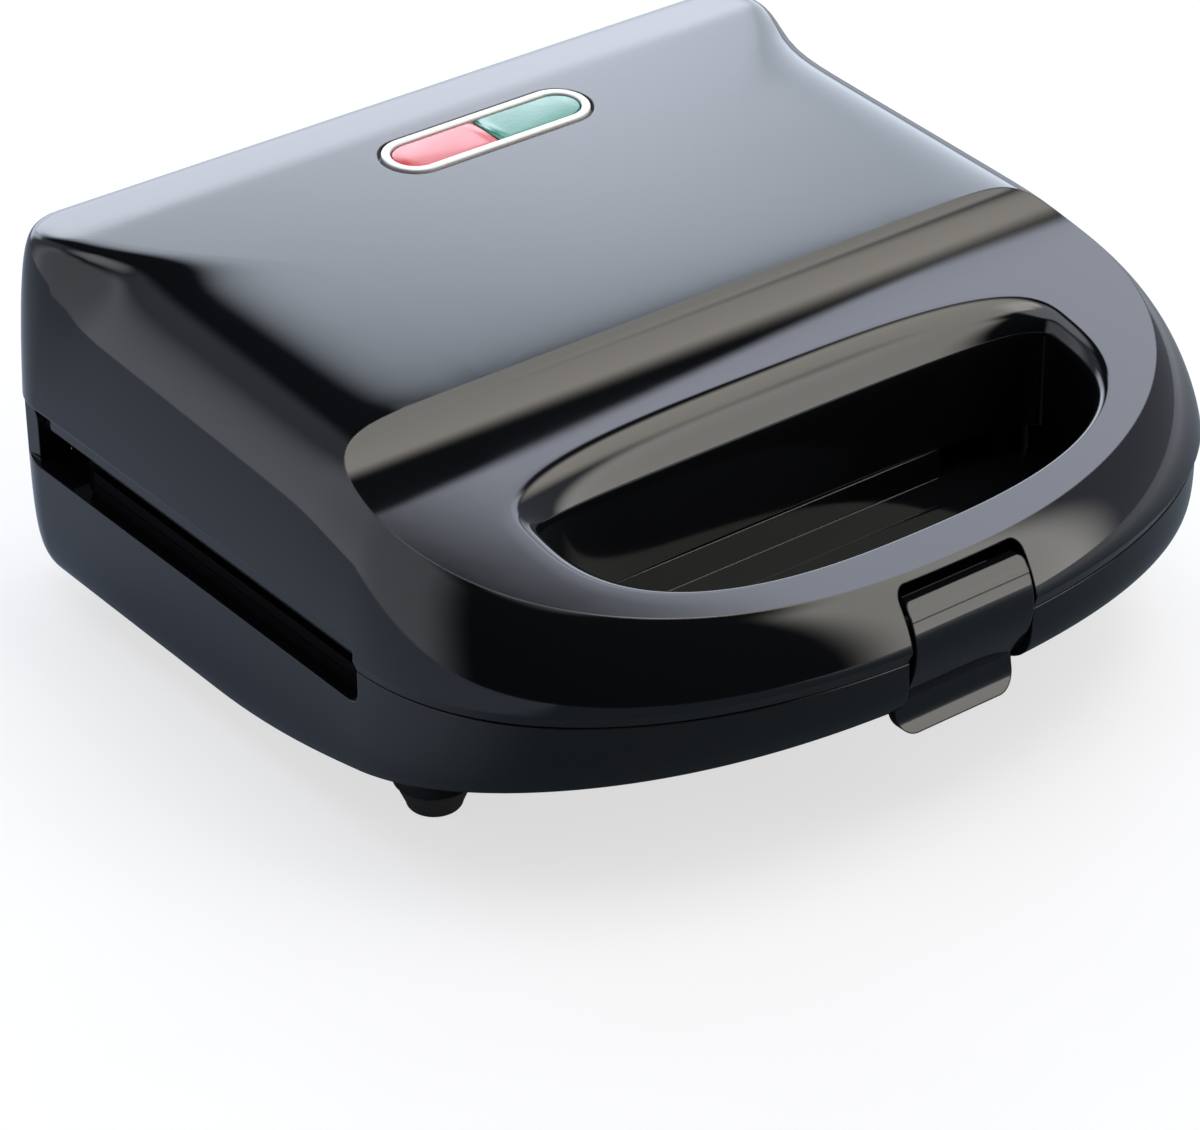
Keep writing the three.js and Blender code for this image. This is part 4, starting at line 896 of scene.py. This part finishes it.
@dataclass(frozen=True)
class BaseShell:
    """The base's moulded shell with its finger tray, in millimetres."""

    finish: Material
    under_rear: float = 8.0
    under_front: float = 28.1
    under_run: Range = (-105.4, 25.0)
    front_power: float = 10.0
    side_power: float = 70.0
    rise_power: float = 4.25
    first_angle: float = math.radians(3)
    rim: float = 38.0
    well_front: float = -29.5
    well_half: float = 105.5
    well_chamfer: float = 3.0
    well_clearance: float = 1.5
    tray_floor: float = 39.0
    tray_rear: float = -39.0
    tray_corner: float = 10.0
    tray_margin: float = 1.0
    pad_half: float = 48.0
    pad_reach: float = 4.0
    pad_run: float = 5.0
    keeper_half: float = 15.0
    keeper_along: Range = (-98.2, -94.4)
    keeper_height: Range = (37.6, 40.6)
    terminal_across: Range = (31.0, 65.0)
    terminal_along: Range = (83.5, 96.5)
    terminal_top: float = 13.0
    gland: Range = (48.0, 27.0)
    gland_wall: Range = (103.2, 108.2)
    gland_boss: float = 9.0
    gland_flange: float = 7.0
    gland_stem: float = 5.0

    @property
    def top(self) -> float:
        """Height of the base's upper edge."""
        return FORM.seam - GAP / 2

    def under_at(self, y: np.ndarray) -> np.ndarray:
        """Height of the underside: a squared sine that rises from the plates to the grip."""
        front, rear = self.under_run
        share = np.clip((rear - y) / (rear - front), 0, 1)
        return blend(self.under_rear, self.under_front, np.sin(np.pi / 2 * share) ** 2)

    def pillow(self, wall: float, above: float, fine: bool) -> Solid:
        """The base's rounded block upside down on its uneven underside, or its inside one wall in.

        A row draws the plan in by rho and sinks by a share of the height, where rho^n + sink^m = 1.

        Args:
            wall: how far the surface is set in.
            above: how far it reaches over the base's upper edge.
            fine: whether it has the points for a surface that shows.

        Returns:
            The closed solid.
        """
        plan = FORM.plan(FORM.seam_inset + wall, FORM.rear + FORM.seam_inset, fine)
        rows, inner_rows = (40, 24) if fine else (14, 8)
        share = np.clip((plan[:, 1] - FORM.front) / (FORM.shoulder - FORM.front), 0, 1)
        power = blend(self.front_power, self.side_power, share)
        angle = blend(self.first_angle, np.pi / 2, (np.arange(rows + 1) / rows) ** CROWDING)[:, None]
        rho = np.sin(angle) ** (2 / power)
        sink = np.cos(angle) ** (2 / self.rise_power)
        inner = np.linspace(0, 1, inner_rows, endpoint=False)[1:, None]
        rho = np.concatenate([rho[:1] * inner, rho])
        sink = np.concatenate([np.repeat(sink[:1], len(inner), 0), sink])
        x, y = FORM.shrunk(plan, rho)
        loops = np.stack([x, y, blend(self.top, self.under_at(y) + wall, sink)], -1)
        if above:
            loops = np.concatenate([loops, stacked([plan], [self.top + above])])
        return loft(loops)

    def tray(self, grow: float, up: Range) -> Solid:
        """The finger tray: the hole's nose, and a rear wall whose middle stands forward.

        Args:
            grow: how much it is grown, for the wall around it.
            up: from its floor to its open top.

        Returns:
            The tray's room as a solid.
        """
        half = HOLE.half - HOLE.side_round + self.tray_margin + grow
        reach = HOLE.front - HOLE.front_round + self.tray_margin + grow
        x, y = superellipse(np.pi * (1 + np.arange(121) / 120), half, reach, HOLE.front_power)
        rear = self.tray_rear + grow
        turn = np.linspace(0, np.pi / 2, 9)
        out, on = self.tray_corner * (1 - np.cos(turn)), self.tray_corner * (1 - np.sin(turn))
        bend = np.stack([half - out, rear - on], -1)
        pad = self.pad_half - grow
        step = np.array([[pad + self.pad_run, rear], [pad, rear - self.pad_reach]])
        side = np.concatenate([bend, step])
        nose = np.stack([x, HOLE.middle + y], -1)
        return extruded(np.concatenate([nose, side, side[::-1] * [-1, 1]]), Plane.XY, up)

    def kept(self, under: float, over: float) -> Solid:
        """What is left standing inside the shell."""
        bosses = MOUNT.bosses((under, MOUNT.parting - MOUNT.boss_end))
        seats = MOUNT.seats((under, MOUNT.parting - MOUNT.reflector_seat))
        well = FORM.slab(self.well_front - FORM.wall, (self.rim - FORM.wall, over))
        tray = self.tray(FORM.wall, (self.tray_floor - FORM.wall, over))
        walls = tray.add(LATCH_SEAT.recess(FORM.wall), well)
        deck = FORM.slab(FORM.front * 2, (self.top - FORM.wall, over))
        terminal = box(self.terminal_across, self.terminal_along, (under, self.terminal_top))
        return walls.add(deck, terminal, *bosses, *seats)

    def lead_in(self, over: float) -> Solid:
        """The chamfer along the well's front wall that leads the upper plate in."""
        low, start = self.top - self.well_chamfer, self.well_front - self.well_chamfer - OVERRUN
        wall = self.well_front + self.well_clearance
        shape = np.array([[self.well_front, low], [wall, low], [wall, over], [start, over]])
        return extruded(shape, Plane.YZ, (-FORM.half_width, FORM.half_width))

    def with_gland(self, shell: Solid) -> Solid:
        """The base with a bored boss for the cord's gland in its rear wall."""
        inner, outer = self.gland_wall
        shell = shell.add(rod(Plane.XZ, self.gland_boss, self.gland, self.gland_wall))
        flange = rod(Plane.XZ, self.gland_flange + GAP, self.gland, (outer, outer + OVERRUN))
        stem = rod(Plane.XZ, self.gland_stem + GAP, self.gland, (inner - GAP, inner - GAP + OVERRUN))
        return shell.cut(flange, stem)

    def with_foot_seats(self, shell: Solid) -> Solid:
        """The base with a bored boss over each foot."""
        seat = FOOT.height + GAP
        for place in FOOT.places:
            top = float(self.under_at(np.array(place[1]))) + FORM.wall
            shell = shell.add(rod(Plane.XY, FOOT.head + FOOT.seat_margin, place, (seat, top)))
            shell = shell.cut(rod(Plane.XY, FOOT.stem + GAP, place, (0.0, seat + FOOT.stem_length)))
        return shell

    def build(self) -> Object:
        """The base's shell, riding on the base.

        Returns:
            The object that stands for the lower housing.
        """
        under, over = self.under_rear - OVERRUN, self.top + OVERRUN
        boss_top = MOUNT.parting - MOUNT.boss_end
        bosses = MOUNT.bosses((under, boss_top))
        nose = (FORM.front * 2, self.well_front)
        tongue = box((-self.well_half, self.well_half), nose, (under, over + GAP))
        inside = self.pillow(FORM.wall, OVERRUN, fine=False).cut(self.kept(under, over))
        shell = self.pillow(0.0, 0.0, fine=True).cut(
            self.lead_in(over),
            inside,
            self.tray(0.0, (self.tray_floor, over)),
            FORM.slab(self.well_front, (self.rim, over)).cut(*bosses),
            FORM.slot(self.rim, over).cut(tongue),
            MOUNT.opening((self.rim - FORM.wall - GAP, over)).cut(*bosses),
            LATCH_SEAT.recess(0.0),
            *MOUNT.bores((boss_top - MOUNT.screw_length, boss_top + GAP)),
        )
        shell = shell.add(box((-self.keeper_half, self.keeper_half), self.keeper_along, self.keeper_height))
        shell = HINGE.on_base(self.with_gland(shell), self.rim - FORM.wall)
        base = self.with_foot_seats(shell).piece("base_shell", "base", self.finish)
        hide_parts("lower_housing")
        return base


@dataclass(frozen=True)
class Latch:
    """The latch in front of the grip, in millimetres."""

    finish: Material
    half_width: float = 17.0
    thickness: float = 2.6
    top: Range = (-105.0, 60.0)
    bulge: Range = (-109.6, 49.0)
    kink: Range = (-103.0, 33.0)
    tip: Range = (-105.4, 24.8)
    top_corner: float = 1.5
    tab_corner: float = 5.0
    barrel: float = 3.0
    hook_half: float = 13.0
    hook_back: float = -98.5
    hook_height: Range = (34.4, 37.0)

    def face(self, shift: float) -> np.ndarray:
        """The latch's front as seen from the side, from top to tip: three parabolas through its bends."""

        def stretch(start: Range, along: float, end: Range) -> np.ndarray:
            """A parabola whose tangents meet at a place along the body, halfway down."""
            return parabola(start, (along, (start[1] + end[1]) / 2), end)

        upper = stretch(self.top, self.bulge[0], self.bulge)
        lower = stretch(self.bulge, self.bulge[0], self.kink)
        tab = stretch(self.kink, self.kink[0], self.tip)
        return np.concatenate([upper[:-1], lower[:-1], tab]) + [shift, 0.0]

    def build(self) -> Object:
        """The latch, riding on its own body.

        Returns:
            The object that stands for the latch clip.
        """
        across = (-self.half_width, self.half_width)
        section = np.concatenate([self.face(0.0), self.face(self.thickness)[::-1]])
        front = rounded_rectangle(across, (self.tip[1], self.top[1]), self.tab_corner, self.top_corner, 16)
        plate = extruded(section, Plane.YZ, across).meet(extruded(front, Plane.XZ, (-2 * FORM.rear, 0.0)))
        hook = box((-self.hook_half, self.hook_half), (self.kink[0], self.hook_back), self.hook_height)
        clip = plate.add(rod(Plane.YZ, self.barrel, LATCH_SEAT.pivot, across), hook)
        clip = clip.cut(LATCH_SEAT.bore(2 * OVERRUN))
        latch = clip.piece("latch_plate", "latch", self.finish, 25.0)
        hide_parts("latch_clip")
        return latch


def add_node(tree: Tree, kind: str, inputs: dict | None = None, **settings: object) -> bpy.types.Node:
    """Adds a shader node with its settings and links.

    Args:
        tree: the material's or world's nodes.
        kind: the node's type.
        inputs: values for its sockets, or the sockets that feed them.
        settings: the node's own settings.

    Returns:
        The node.
    """
    made = tree.nodes.new(kind)
    for name, value in settings.items():
        setattr(made, name, value)
    for name, value in (inputs or {}).items():
        if isinstance(value, Socket):
            tree.links.new(value, made.inputs[name])
        else:
            made.inputs[name].default_value = value
    return made


def maths(tree: Tree, operation: str, *values: object) -> Socket:
    """The result of a math node over its values."""
    return add_node(tree, "ShaderNodeMath", dict(enumerate(values)), operation=operation).outputs[0]


def vector_maths(tree: Tree, operation: str, inputs: dict) -> bpy.types.Node:
    """A vector math node."""
    return add_node(tree, "ShaderNodeVectorMath", inputs, operation=operation)


def ramp(tree: Tree, value: Socket, limits: Range, levels: Range = (0.0, 1.0), eased: bool = False) -> Socket:
    """A value carried from one range to another.

    Args:
        tree: the nodes.
        value: the value.
        limits: the range that it comes from, past which it stops.
        levels: the range that it is carried to.
        eased: whether it starts and ends gently.

    Returns:
        The new value.
    """
    ends = {"From Min": limits[0], "From Max": limits[1], "To Min": levels[0], "To Max": levels[1]}
    curve = "SMOOTHSTEP" if eased else "LINEAR"
    made = add_node(tree, "ShaderNodeMapRange", {"Value": value, **ends}, interpolation_type=curve)
    return made.outputs["Result"]


def mixed(tree: Tree, factor: Socket, first: object, second: object) -> Socket:
    """Two colours mixed by a factor."""
    inputs = {"Factor": factor, "A": first, "B": second}
    return add_node(tree, "ShaderNodeMix", inputs, data_type="RGBA").outputs["Result"]


def noise(tree: Tree, place: Socket, scale: float, detail: float = 2.0) -> Socket:
    """The value of a noise texture."""
    inputs = {"Vector": place, "Scale": scale, "Detail": detail}
    return add_node(tree, "ShaderNodeTexNoise", inputs).outputs["Fac"]


def per_metre(size_mm: float) -> float:
    """The scale of a texture whose features are a size in millimetres."""
    return 1 / (size_mm * MM)


@dataclass(frozen=True)
class Substance:
    """What every finish starts from."""

    name: str
    colour: str

    def start(self, sockets: dict[str, float]) -> tuple[Material, Tree, bpy.types.Node, Socket]:
        """A new material in the finish's colour.

        Args:
            sockets: values of single sockets of its shader.

        Returns:
            The material, its nodes, its shader and the place on the object.
        """
        material = bpy.data.materials.new(self.name)
        material.use_nodes = True
        tree = material.node_tree
        shader = tree.nodes["Principled BSDF"]
        for name, value in {"Base Color": linear(self.colour), **sockets}.items():
            shader.inputs[name].default_value = value
        return material, tree, shader, add_node(tree, "ShaderNodeTexCoord").outputs["Object"]


@dataclass(frozen=True)
class Plastic(Substance):
    """Injection-moulded plastic.

    A polished tool leaves a mirror with a faint long-wave unevenness, and a matt one an eroded grain.
    """

    roughness: Range
    cloud: float
    grain: float
    depth: float
    edge: float = 0.0
    ior: float = 1.5

    def build(self) -> Material:
        """The material, with its roughness drifting over clouds and its grain as a bump."""
        material, tree, shader, place = self.start({"IOR": self.ior})
        clouds = noise(tree, place, per_metre(self.cloud), 3.0)
        tree.links.new(ramp(tree, clouds, (0.35, 0.65), self.roughness), shader.inputs["Roughness"])
        grain = noise(tree, place, per_metre(self.grain))
        relief = {"Height": grain, "Strength": 1.0, "Distance": self.depth * MM}
        bump = add_node(tree, "ShaderNodeBump", relief)
        if self.edge:
            edge = add_node(tree, "ShaderNodeBevel", {"Radius": self.edge * MM}, samples=6)
            tree.links.new(edge.outputs["Normal"], bump.inputs["Normal"])
        tree.links.new(bump.outputs["Normal"], shader.inputs["Normal"])
        return material


@dataclass(frozen=True)
class Metal(Substance):
    """Bare metal whose grain runs one way, such as a drawn rod or rolled sheet, or none."""

    stain: str
    roughness: Range
    grain: Point

    def build(self) -> Material:
        """The material: two tones and a roughness over streaks as long, wide and high as the grain."""
        material, tree, shader, place = self.start({"Metallic": 1.0})
        scale = tuple(per_metre(size) for size in self.grain)
        fitted = add_node(tree, "ShaderNodeMapping", {"Vector": place, "Scale": scale})
        streaks = noise(tree, fitted.outputs["Vector"], 1.0, 4.0)
        tone = mixed(tree, streaks, linear(self.colour), linear(self.stain))
        tree.links.new(tone, shader.inputs["Base Color"])
        tree.links.new(ramp(tree, streaks, (0.3, 0.7), self.roughness), shader.inputs["Roughness"])
        return material


@dataclass(frozen=True)
class Glass(Substance):
    """Drawn glass tube, clear with a faint haze."""

    roughness: Range
    haze: float
    clearness: float = 0.9

    def build(self) -> Material:
        """The material, with its roughness drifting over the haze."""
        material, tree, shader, place = self.start({"Transmission Weight": self.clearness})
        haze = ramp(tree, noise(tree, place, per_metre(self.haze)), (0.0, 1.0), self.roughness)
        tree.links.new(haze, shader.inputs["Roughness"])
        return material


@dataclass(frozen=True)
class Studio:
    """Camera and table, with places in millimetres, the strength of the paper's painted glow, and the fades
    of its painted reflection in metres.
    """

    eye: Point = (-575.9, -726.8, 585.2)
    target: Point = (-70.5, -67.0, 72.0)
    roll: float = math.radians(-0.482)
    sensor: float = 36.0
    lens: float = 137.15
    clip: Range = (0.01, 100.0)
    table_half: float = 4.0
    # Painted light: how brightly the paper glows, which lightens its own cast shadow
    painted_glow: float = 0.68
    # Where the paper's painted reflection turns pale to the right, and light blue-grey at the left and behind
    painted_reflection_right_fade: Range = (0.05, 0.7)
    painted_reflection_left_fade: Range = (0.02, 0.14)

    def camera(self) -> None:
        """The camera at the photograph's viewing angle, with its slight roll."""
        eye, target = Vector(self.eye) * MM, Vector(self.target) * MM
        forward = (target - eye).normalized()
        level = forward.cross(Vector((0, 0, 1))).normalized()
        upright = level.cross(forward)
        right = level * math.cos(self.roll) + upright * math.sin(self.roll)
        up = right.cross(forward)
        data = bpy.data.cameras.new("camera")
        data.sensor_fit = "HORIZONTAL"
        data.sensor_width = self.sensor
        data.lens = self.lens
        data.clip_start, data.clip_end = self.clip
        camera = bpy.data.objects.new("camera", data)
        camera.matrix_world = Matrix.Translation(eye) @ Matrix((right, up, -forward)).transposed().to_4x4()
        bpy.context.scene.collection.objects.link(camera)
        bpy.context.scene.camera = camera

    def table(self) -> None:
        """A pale matt table that runs on past the view."""
        reach = self.table_half
        corners = [(-reach, -reach, 0), (reach, -reach, 0), (reach, reach, 0), (-reach, reach, 0)]
        mesh = bpy.data.meshes.new("table")
        mesh.from_pydata(corners, [], [[0, 1, 2, 3]])
        mesh.materials.append(self.paper())
        table = bpy.data.objects.new("table", mesh)
        bpy.context.scene.collection.objects.link(table)

    def paper(self) -> Material:
        """Matt paper under the appliance, which its gloss skin mirrors with a painted reflection.

        A mirror ray finds a darker paper, painted dimmest in front and under the grip, so that the polished
        walls stay deep while the paper itself is pale. The paper also glows a little, a painted light that
        lightens its own cast shadow.

        Returns:
            The material.
        """
        material = Plastic("matt white paper", "#7d7e80", (0.85, 0.95), 60.0, 0.8, 0.005).build()
        tree = material.node_tree
        lit = tree.nodes["Principled BSDF"]
        # Painted light: the paper glows evenly in white, which fills in its cast shadow
        lit.inputs["Emission Color"].default_value = linear("#ffffff")
        lit.inputs["Emission Strength"].default_value = self.painted_glow
        place = add_node(tree, "ShaderNodeTexCoord").outputs["Object"]
        parts = add_node(tree, "ShaderNodeSeparateXYZ", {"Vector": place})
        across, along = parts.outputs["X"], parts.outputs["Y"]
        # Painted reflection, seen by mirror rays alone: grey-blue in front and under the grip, pale to the
        # right, light blue-grey at the left and behind
        right = ramp(tree, across, self.painted_reflection_right_fade, eased=True)
        left = ramp(tree, maths(tree, "SUBTRACT", along, across), self.painted_reflection_left_fade, eased=True)
        tone = mixed(tree, right, linear("#5d676f"), linear("#c9cdd4"))
        tone = mixed(tree, left, tone, linear("#9aa4b2"))
        # A plain diffuse paper in the painted reflection's tones
        dim = add_node(tree, "ShaderNodeBsdfDiffuse", {"Color": tone})
        # Mirror rays find the painted reflection; every other ray finds the lit and glowing paper
        ray = add_node(tree, "ShaderNodeLightPath").outputs["Is Glossy Ray"]
        mix = add_node(tree, "ShaderNodeMixShader", {0: ray, 1: lit.outputs[0], 2: dim.outputs[0]})
        tree.links.new(mix.outputs[0], tree.nodes["Material Output"].inputs["Surface"])
        return material


@dataclass(frozen=True)
class SoftBox:
    """A soft light panel far off, given by the sky that it covers, in degrees."""

    heading: float
    spread: Range
    height: Range
    fade: Range
    colour: str
    strength: float

    def light(self, tree: Tree, way: Socket, rise: Socket) -> Socket:
        """The panel's light in the world's nodes.

        Args:
            tree: the world's nodes.
            way: the direction looked in.
            rise: that direction's angle over the horizon.

        Returns:
            A colour socket that is black outside the panel and fades in over its edges.
        """
        east, north = math.sin(math.radians(self.heading)), math.cos(math.radians(self.heading))
        ahead = vector_maths(tree, "DOT_PRODUCT", {0: way, 1: (east, north, 0)}).outputs["Value"]
        aside = vector_maths(tree, "DOT_PRODUCT", {0: way, 1: (north, -east, 0)}).outputs["Value"]
        turn = maths(tree, "ARCTAN2", aside, ahead)
        steps = []
        for value, edges, fade in ((turn, self.spread, self.fade[0]), (rise, self.height, self.fade[1])):
            for edge, reach in zip(edges, (fade / 2, -fade / 2)):
                limits = (math.radians(edge - reach), math.radians(edge + reach))
                steps.append(ramp(tree, value, limits, eased=True))
        share = steps[0]
        for factor in (*steps[1:], self.strength):
            share = maths(tree, "MULTIPLY", share, factor)
        return vector_maths(tree, "SCALE", {0: linear(self.colour)[:3], "Scale": share}).outputs["Vector"]


@dataclass(frozen=True)
class Sky:
    """The studio's light: soft panels in a dim room."""

    room: str = "#5a626e"
    room_strength: float = 0.03
    boxes: tuple[SoftBox, ...] = (
        SoftBox(25.0, (-35.0, 37.0), (2.0, 36.0), (16.0, 9.0), "#e5f0ff", 3.9),
        SoftBox(25.0, (-17.0, 17.0), (20.0, 32.0), (7.0, 6.0), "#f4f3ff", 2.0),
        SoftBox(54.0, (-16.0, 12.0), (39.0, 50.0), (6.0, 2.0), "#e8eeff", 4.6),
        SoftBox(105.0, (-34.5, 42.0), (48.0, 78.0), (14.0, 10.0), "#fff9ee", 4.1),
        SoftBox(140.0, (-16.0, 17.0), (-30.0, 48.0), (13.0, 10.0), "#fffcf4", 3.9),
        SoftBox(95.0, (-35.0, 40.0), (-5.0, 46.0), (16.0, 8.0), "#e6ebff", 0.5),
        SoftBox(-68.0, (-26.0, 30.0), (-5.0, 56.0), (26.0, 12.0), "#f4f6ff", 1.2),
        SoftBox(-22.0, (-30.0, 26.0), (-5.0, 62.0), (20.0, 10.0), "#e9edff", 0.5),
        SoftBox(0.0, (-181.0, 181.0), (64.0, 95.0), (1.0, 8.0), "#f6f7ff", 2.4),
    )

    def build(self) -> None:
        """Puts the light into the world. The camera itself sees a pale backdrop past the table."""
        world = bpy.data.worlds.new("studio")
        bpy.context.scene.world = world
        world.use_nodes = True
        tree = world.node_tree
        tree.nodes.clear()
        way = add_node(tree, "ShaderNodeTexCoord").outputs["Generated"]
        parts = add_node(tree, "ShaderNodeSeparateXYZ", {"Vector": way})
        rise = maths(tree, "ARCSINE", parts.outputs["Z"])
        room = {0: linear(self.room)[:3], "Scale": self.room_strength}
        total = vector_maths(tree, "SCALE", room).outputs["Vector"]
        for soft_box in self.boxes:
            light = soft_box.light(tree, way, rise)
            total = vector_maths(tree, "ADD", {0: total, 1: light}).outputs["Vector"]
        lit = add_node(tree, "ShaderNodeBackground", {"Color": total, "Strength": 1.0})
        seen = add_node(tree, "ShaderNodeBackground", {"Color": linear("#f4f5f7"), "Strength": 1.0})
        ray = add_node(tree, "ShaderNodeLightPath").outputs["Is Camera Ray"]
        mix = add_node(tree, "ShaderNodeMixShader", {0: ray, 1: lit.outputs[0], 2: seen.outputs[0]})
        add_node(tree, "ShaderNodeOutputWorld", {"Surface": mix.outputs[0]})


class Finishes:
    """Every finish of the appliance, built once."""

    def __init__(self) -> None:
        """Builds the materials."""
        # A polished steel tool gives ABS a mirror skin; only a faint orange peel breaks it
        self.gloss = Plastic("polished black ABS", "#0a0b0d", (0.035, 0.055), 30.0, 14.0, 0.004, 0.5).build()
        self.white = Plastic("glossy white ABS", "#c8c8c7", (0.2, 0.3), 12.0, 0.5, 0.003, 0.2).build()
        clear = (0.12, 0.2)
        self.red = Plastic("red polycarbonate lens", "#b53a39", clear, 6.0, 1.2, 0.01, 0.2, 1.58).build()
        self.green = Plastic("green polycarbonate lens", "#1a735d", clear, 6.0, 0.6, 0.03, 0.2, 1.58).build()
        self.satin = Plastic("satin black nylon", "#17181a", (0.35, 0.45), 8.0, 0.3, 0.01).build()
        coat = "cast aluminium with non-stick coat"
        self.non_stick = Plastic(coat, "#1b1b1c", (0.38, 0.5), 5.0, 0.35, 0.02).build()
        self.rubber = Plastic("moulded black rubber", "#17181a", (0.7, 0.85), 4.0, 0.25, 0.02).build()
        self.ceramic = Plastic("fired steatite", "#e2dac8", (0.5, 0.65), 3.0, 0.3, 0.01).build()
        self.sleeve = Plastic("woven glass-fibre sleeve", "#c9c2b0", (0.6, 0.8), 2.0, 0.5, 0.08).build()
        self.steel = Metal("drawn bare steel", "#b0b2b4", "#8e9194", (0.25, 0.4), (6.0, 0.4, 0.4)).build()
        even, rolled = (5.0, 5.0, 5.0), (30.0, 0.5, 0.5)
        self.element = Metal("heat-blued steel tube", "#6d6a63", "#4a4540", (0.4, 0.6), even).build()
        self.sheet = Metal("rolled bright aluminium", "#c8cacc", "#b4b7ba", (0.2, 0.35), rolled).build()
        self.glass = Glass("drawn clear glass", "#eef2f3", (0.02, 0.12), 2.0).build()

    def dress(self) -> None:
        """Puts each solid of the frame that keeps its mesh in its finish, by what its name says it is."""
        kinds = {
            "plate_screw": self.steel,
            "cooking_plate": self.non_stick,
            "heating_element": self.element,
            "element_bead": self.ceramic,
            "element_clamp": self.steel,
            "heat_reflector": self.sheet,
            "thermostat": self.ceramic,
            "terminal_block": self.white,
            "lead": self.sleeve,
            "pin": self.steel,
            "fuse": self.glass,
            "lamp_holder": self.satin,
            "lamp": self.glass,
            "gland": self.satin,
            "foot": self.rubber,
            "housing": self.gloss,
            "clip": self.gloss,
            "bezel": self.white,
            "red_lens": self.red,
            "green_lens": self.green,
        }
        for name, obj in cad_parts.items():
            finish = next(kinds[word] for word in kinds if word in name)
            obj.data.materials.clear()
            obj.data.materials.append(finish)


def indicator(finishes: Finishes) -> None:
    """The bezel and the two halves of its lens."""
    bezel = WINDOW.bezel().piece("indicator_bezel", "lid", finishes.white, 35.0)
    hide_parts("window_bezel")
    for name, side, finish in (("red", -1, finishes.red), ("green", 1, finishes.green)):
        lens = WINDOW.lens(side).piece("indicator_" + name, "lid", finish, 50.0)
        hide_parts(name + "_lens")


def main() -> None:
    """Builds the studio, then the appliance piece by piece."""
    logging.basicConfig(level=logging.INFO, format="%(name)s %(message)s")
    bpy.context.scene.view_settings.view_transform = "Standard"
    studio = Studio()
    studio.camera()
    studio.table()
    Sky().build()
    finishes = Finishes()
    finishes.dress()
    LidShell(finishes.gloss).build()
    BaseShell(finishes.gloss).build()
    Latch(finishes.gloss).build()
    indicator(finishes)
    FOOT.build(finishes.rubber)


if __name__ == "__main__":
    main()
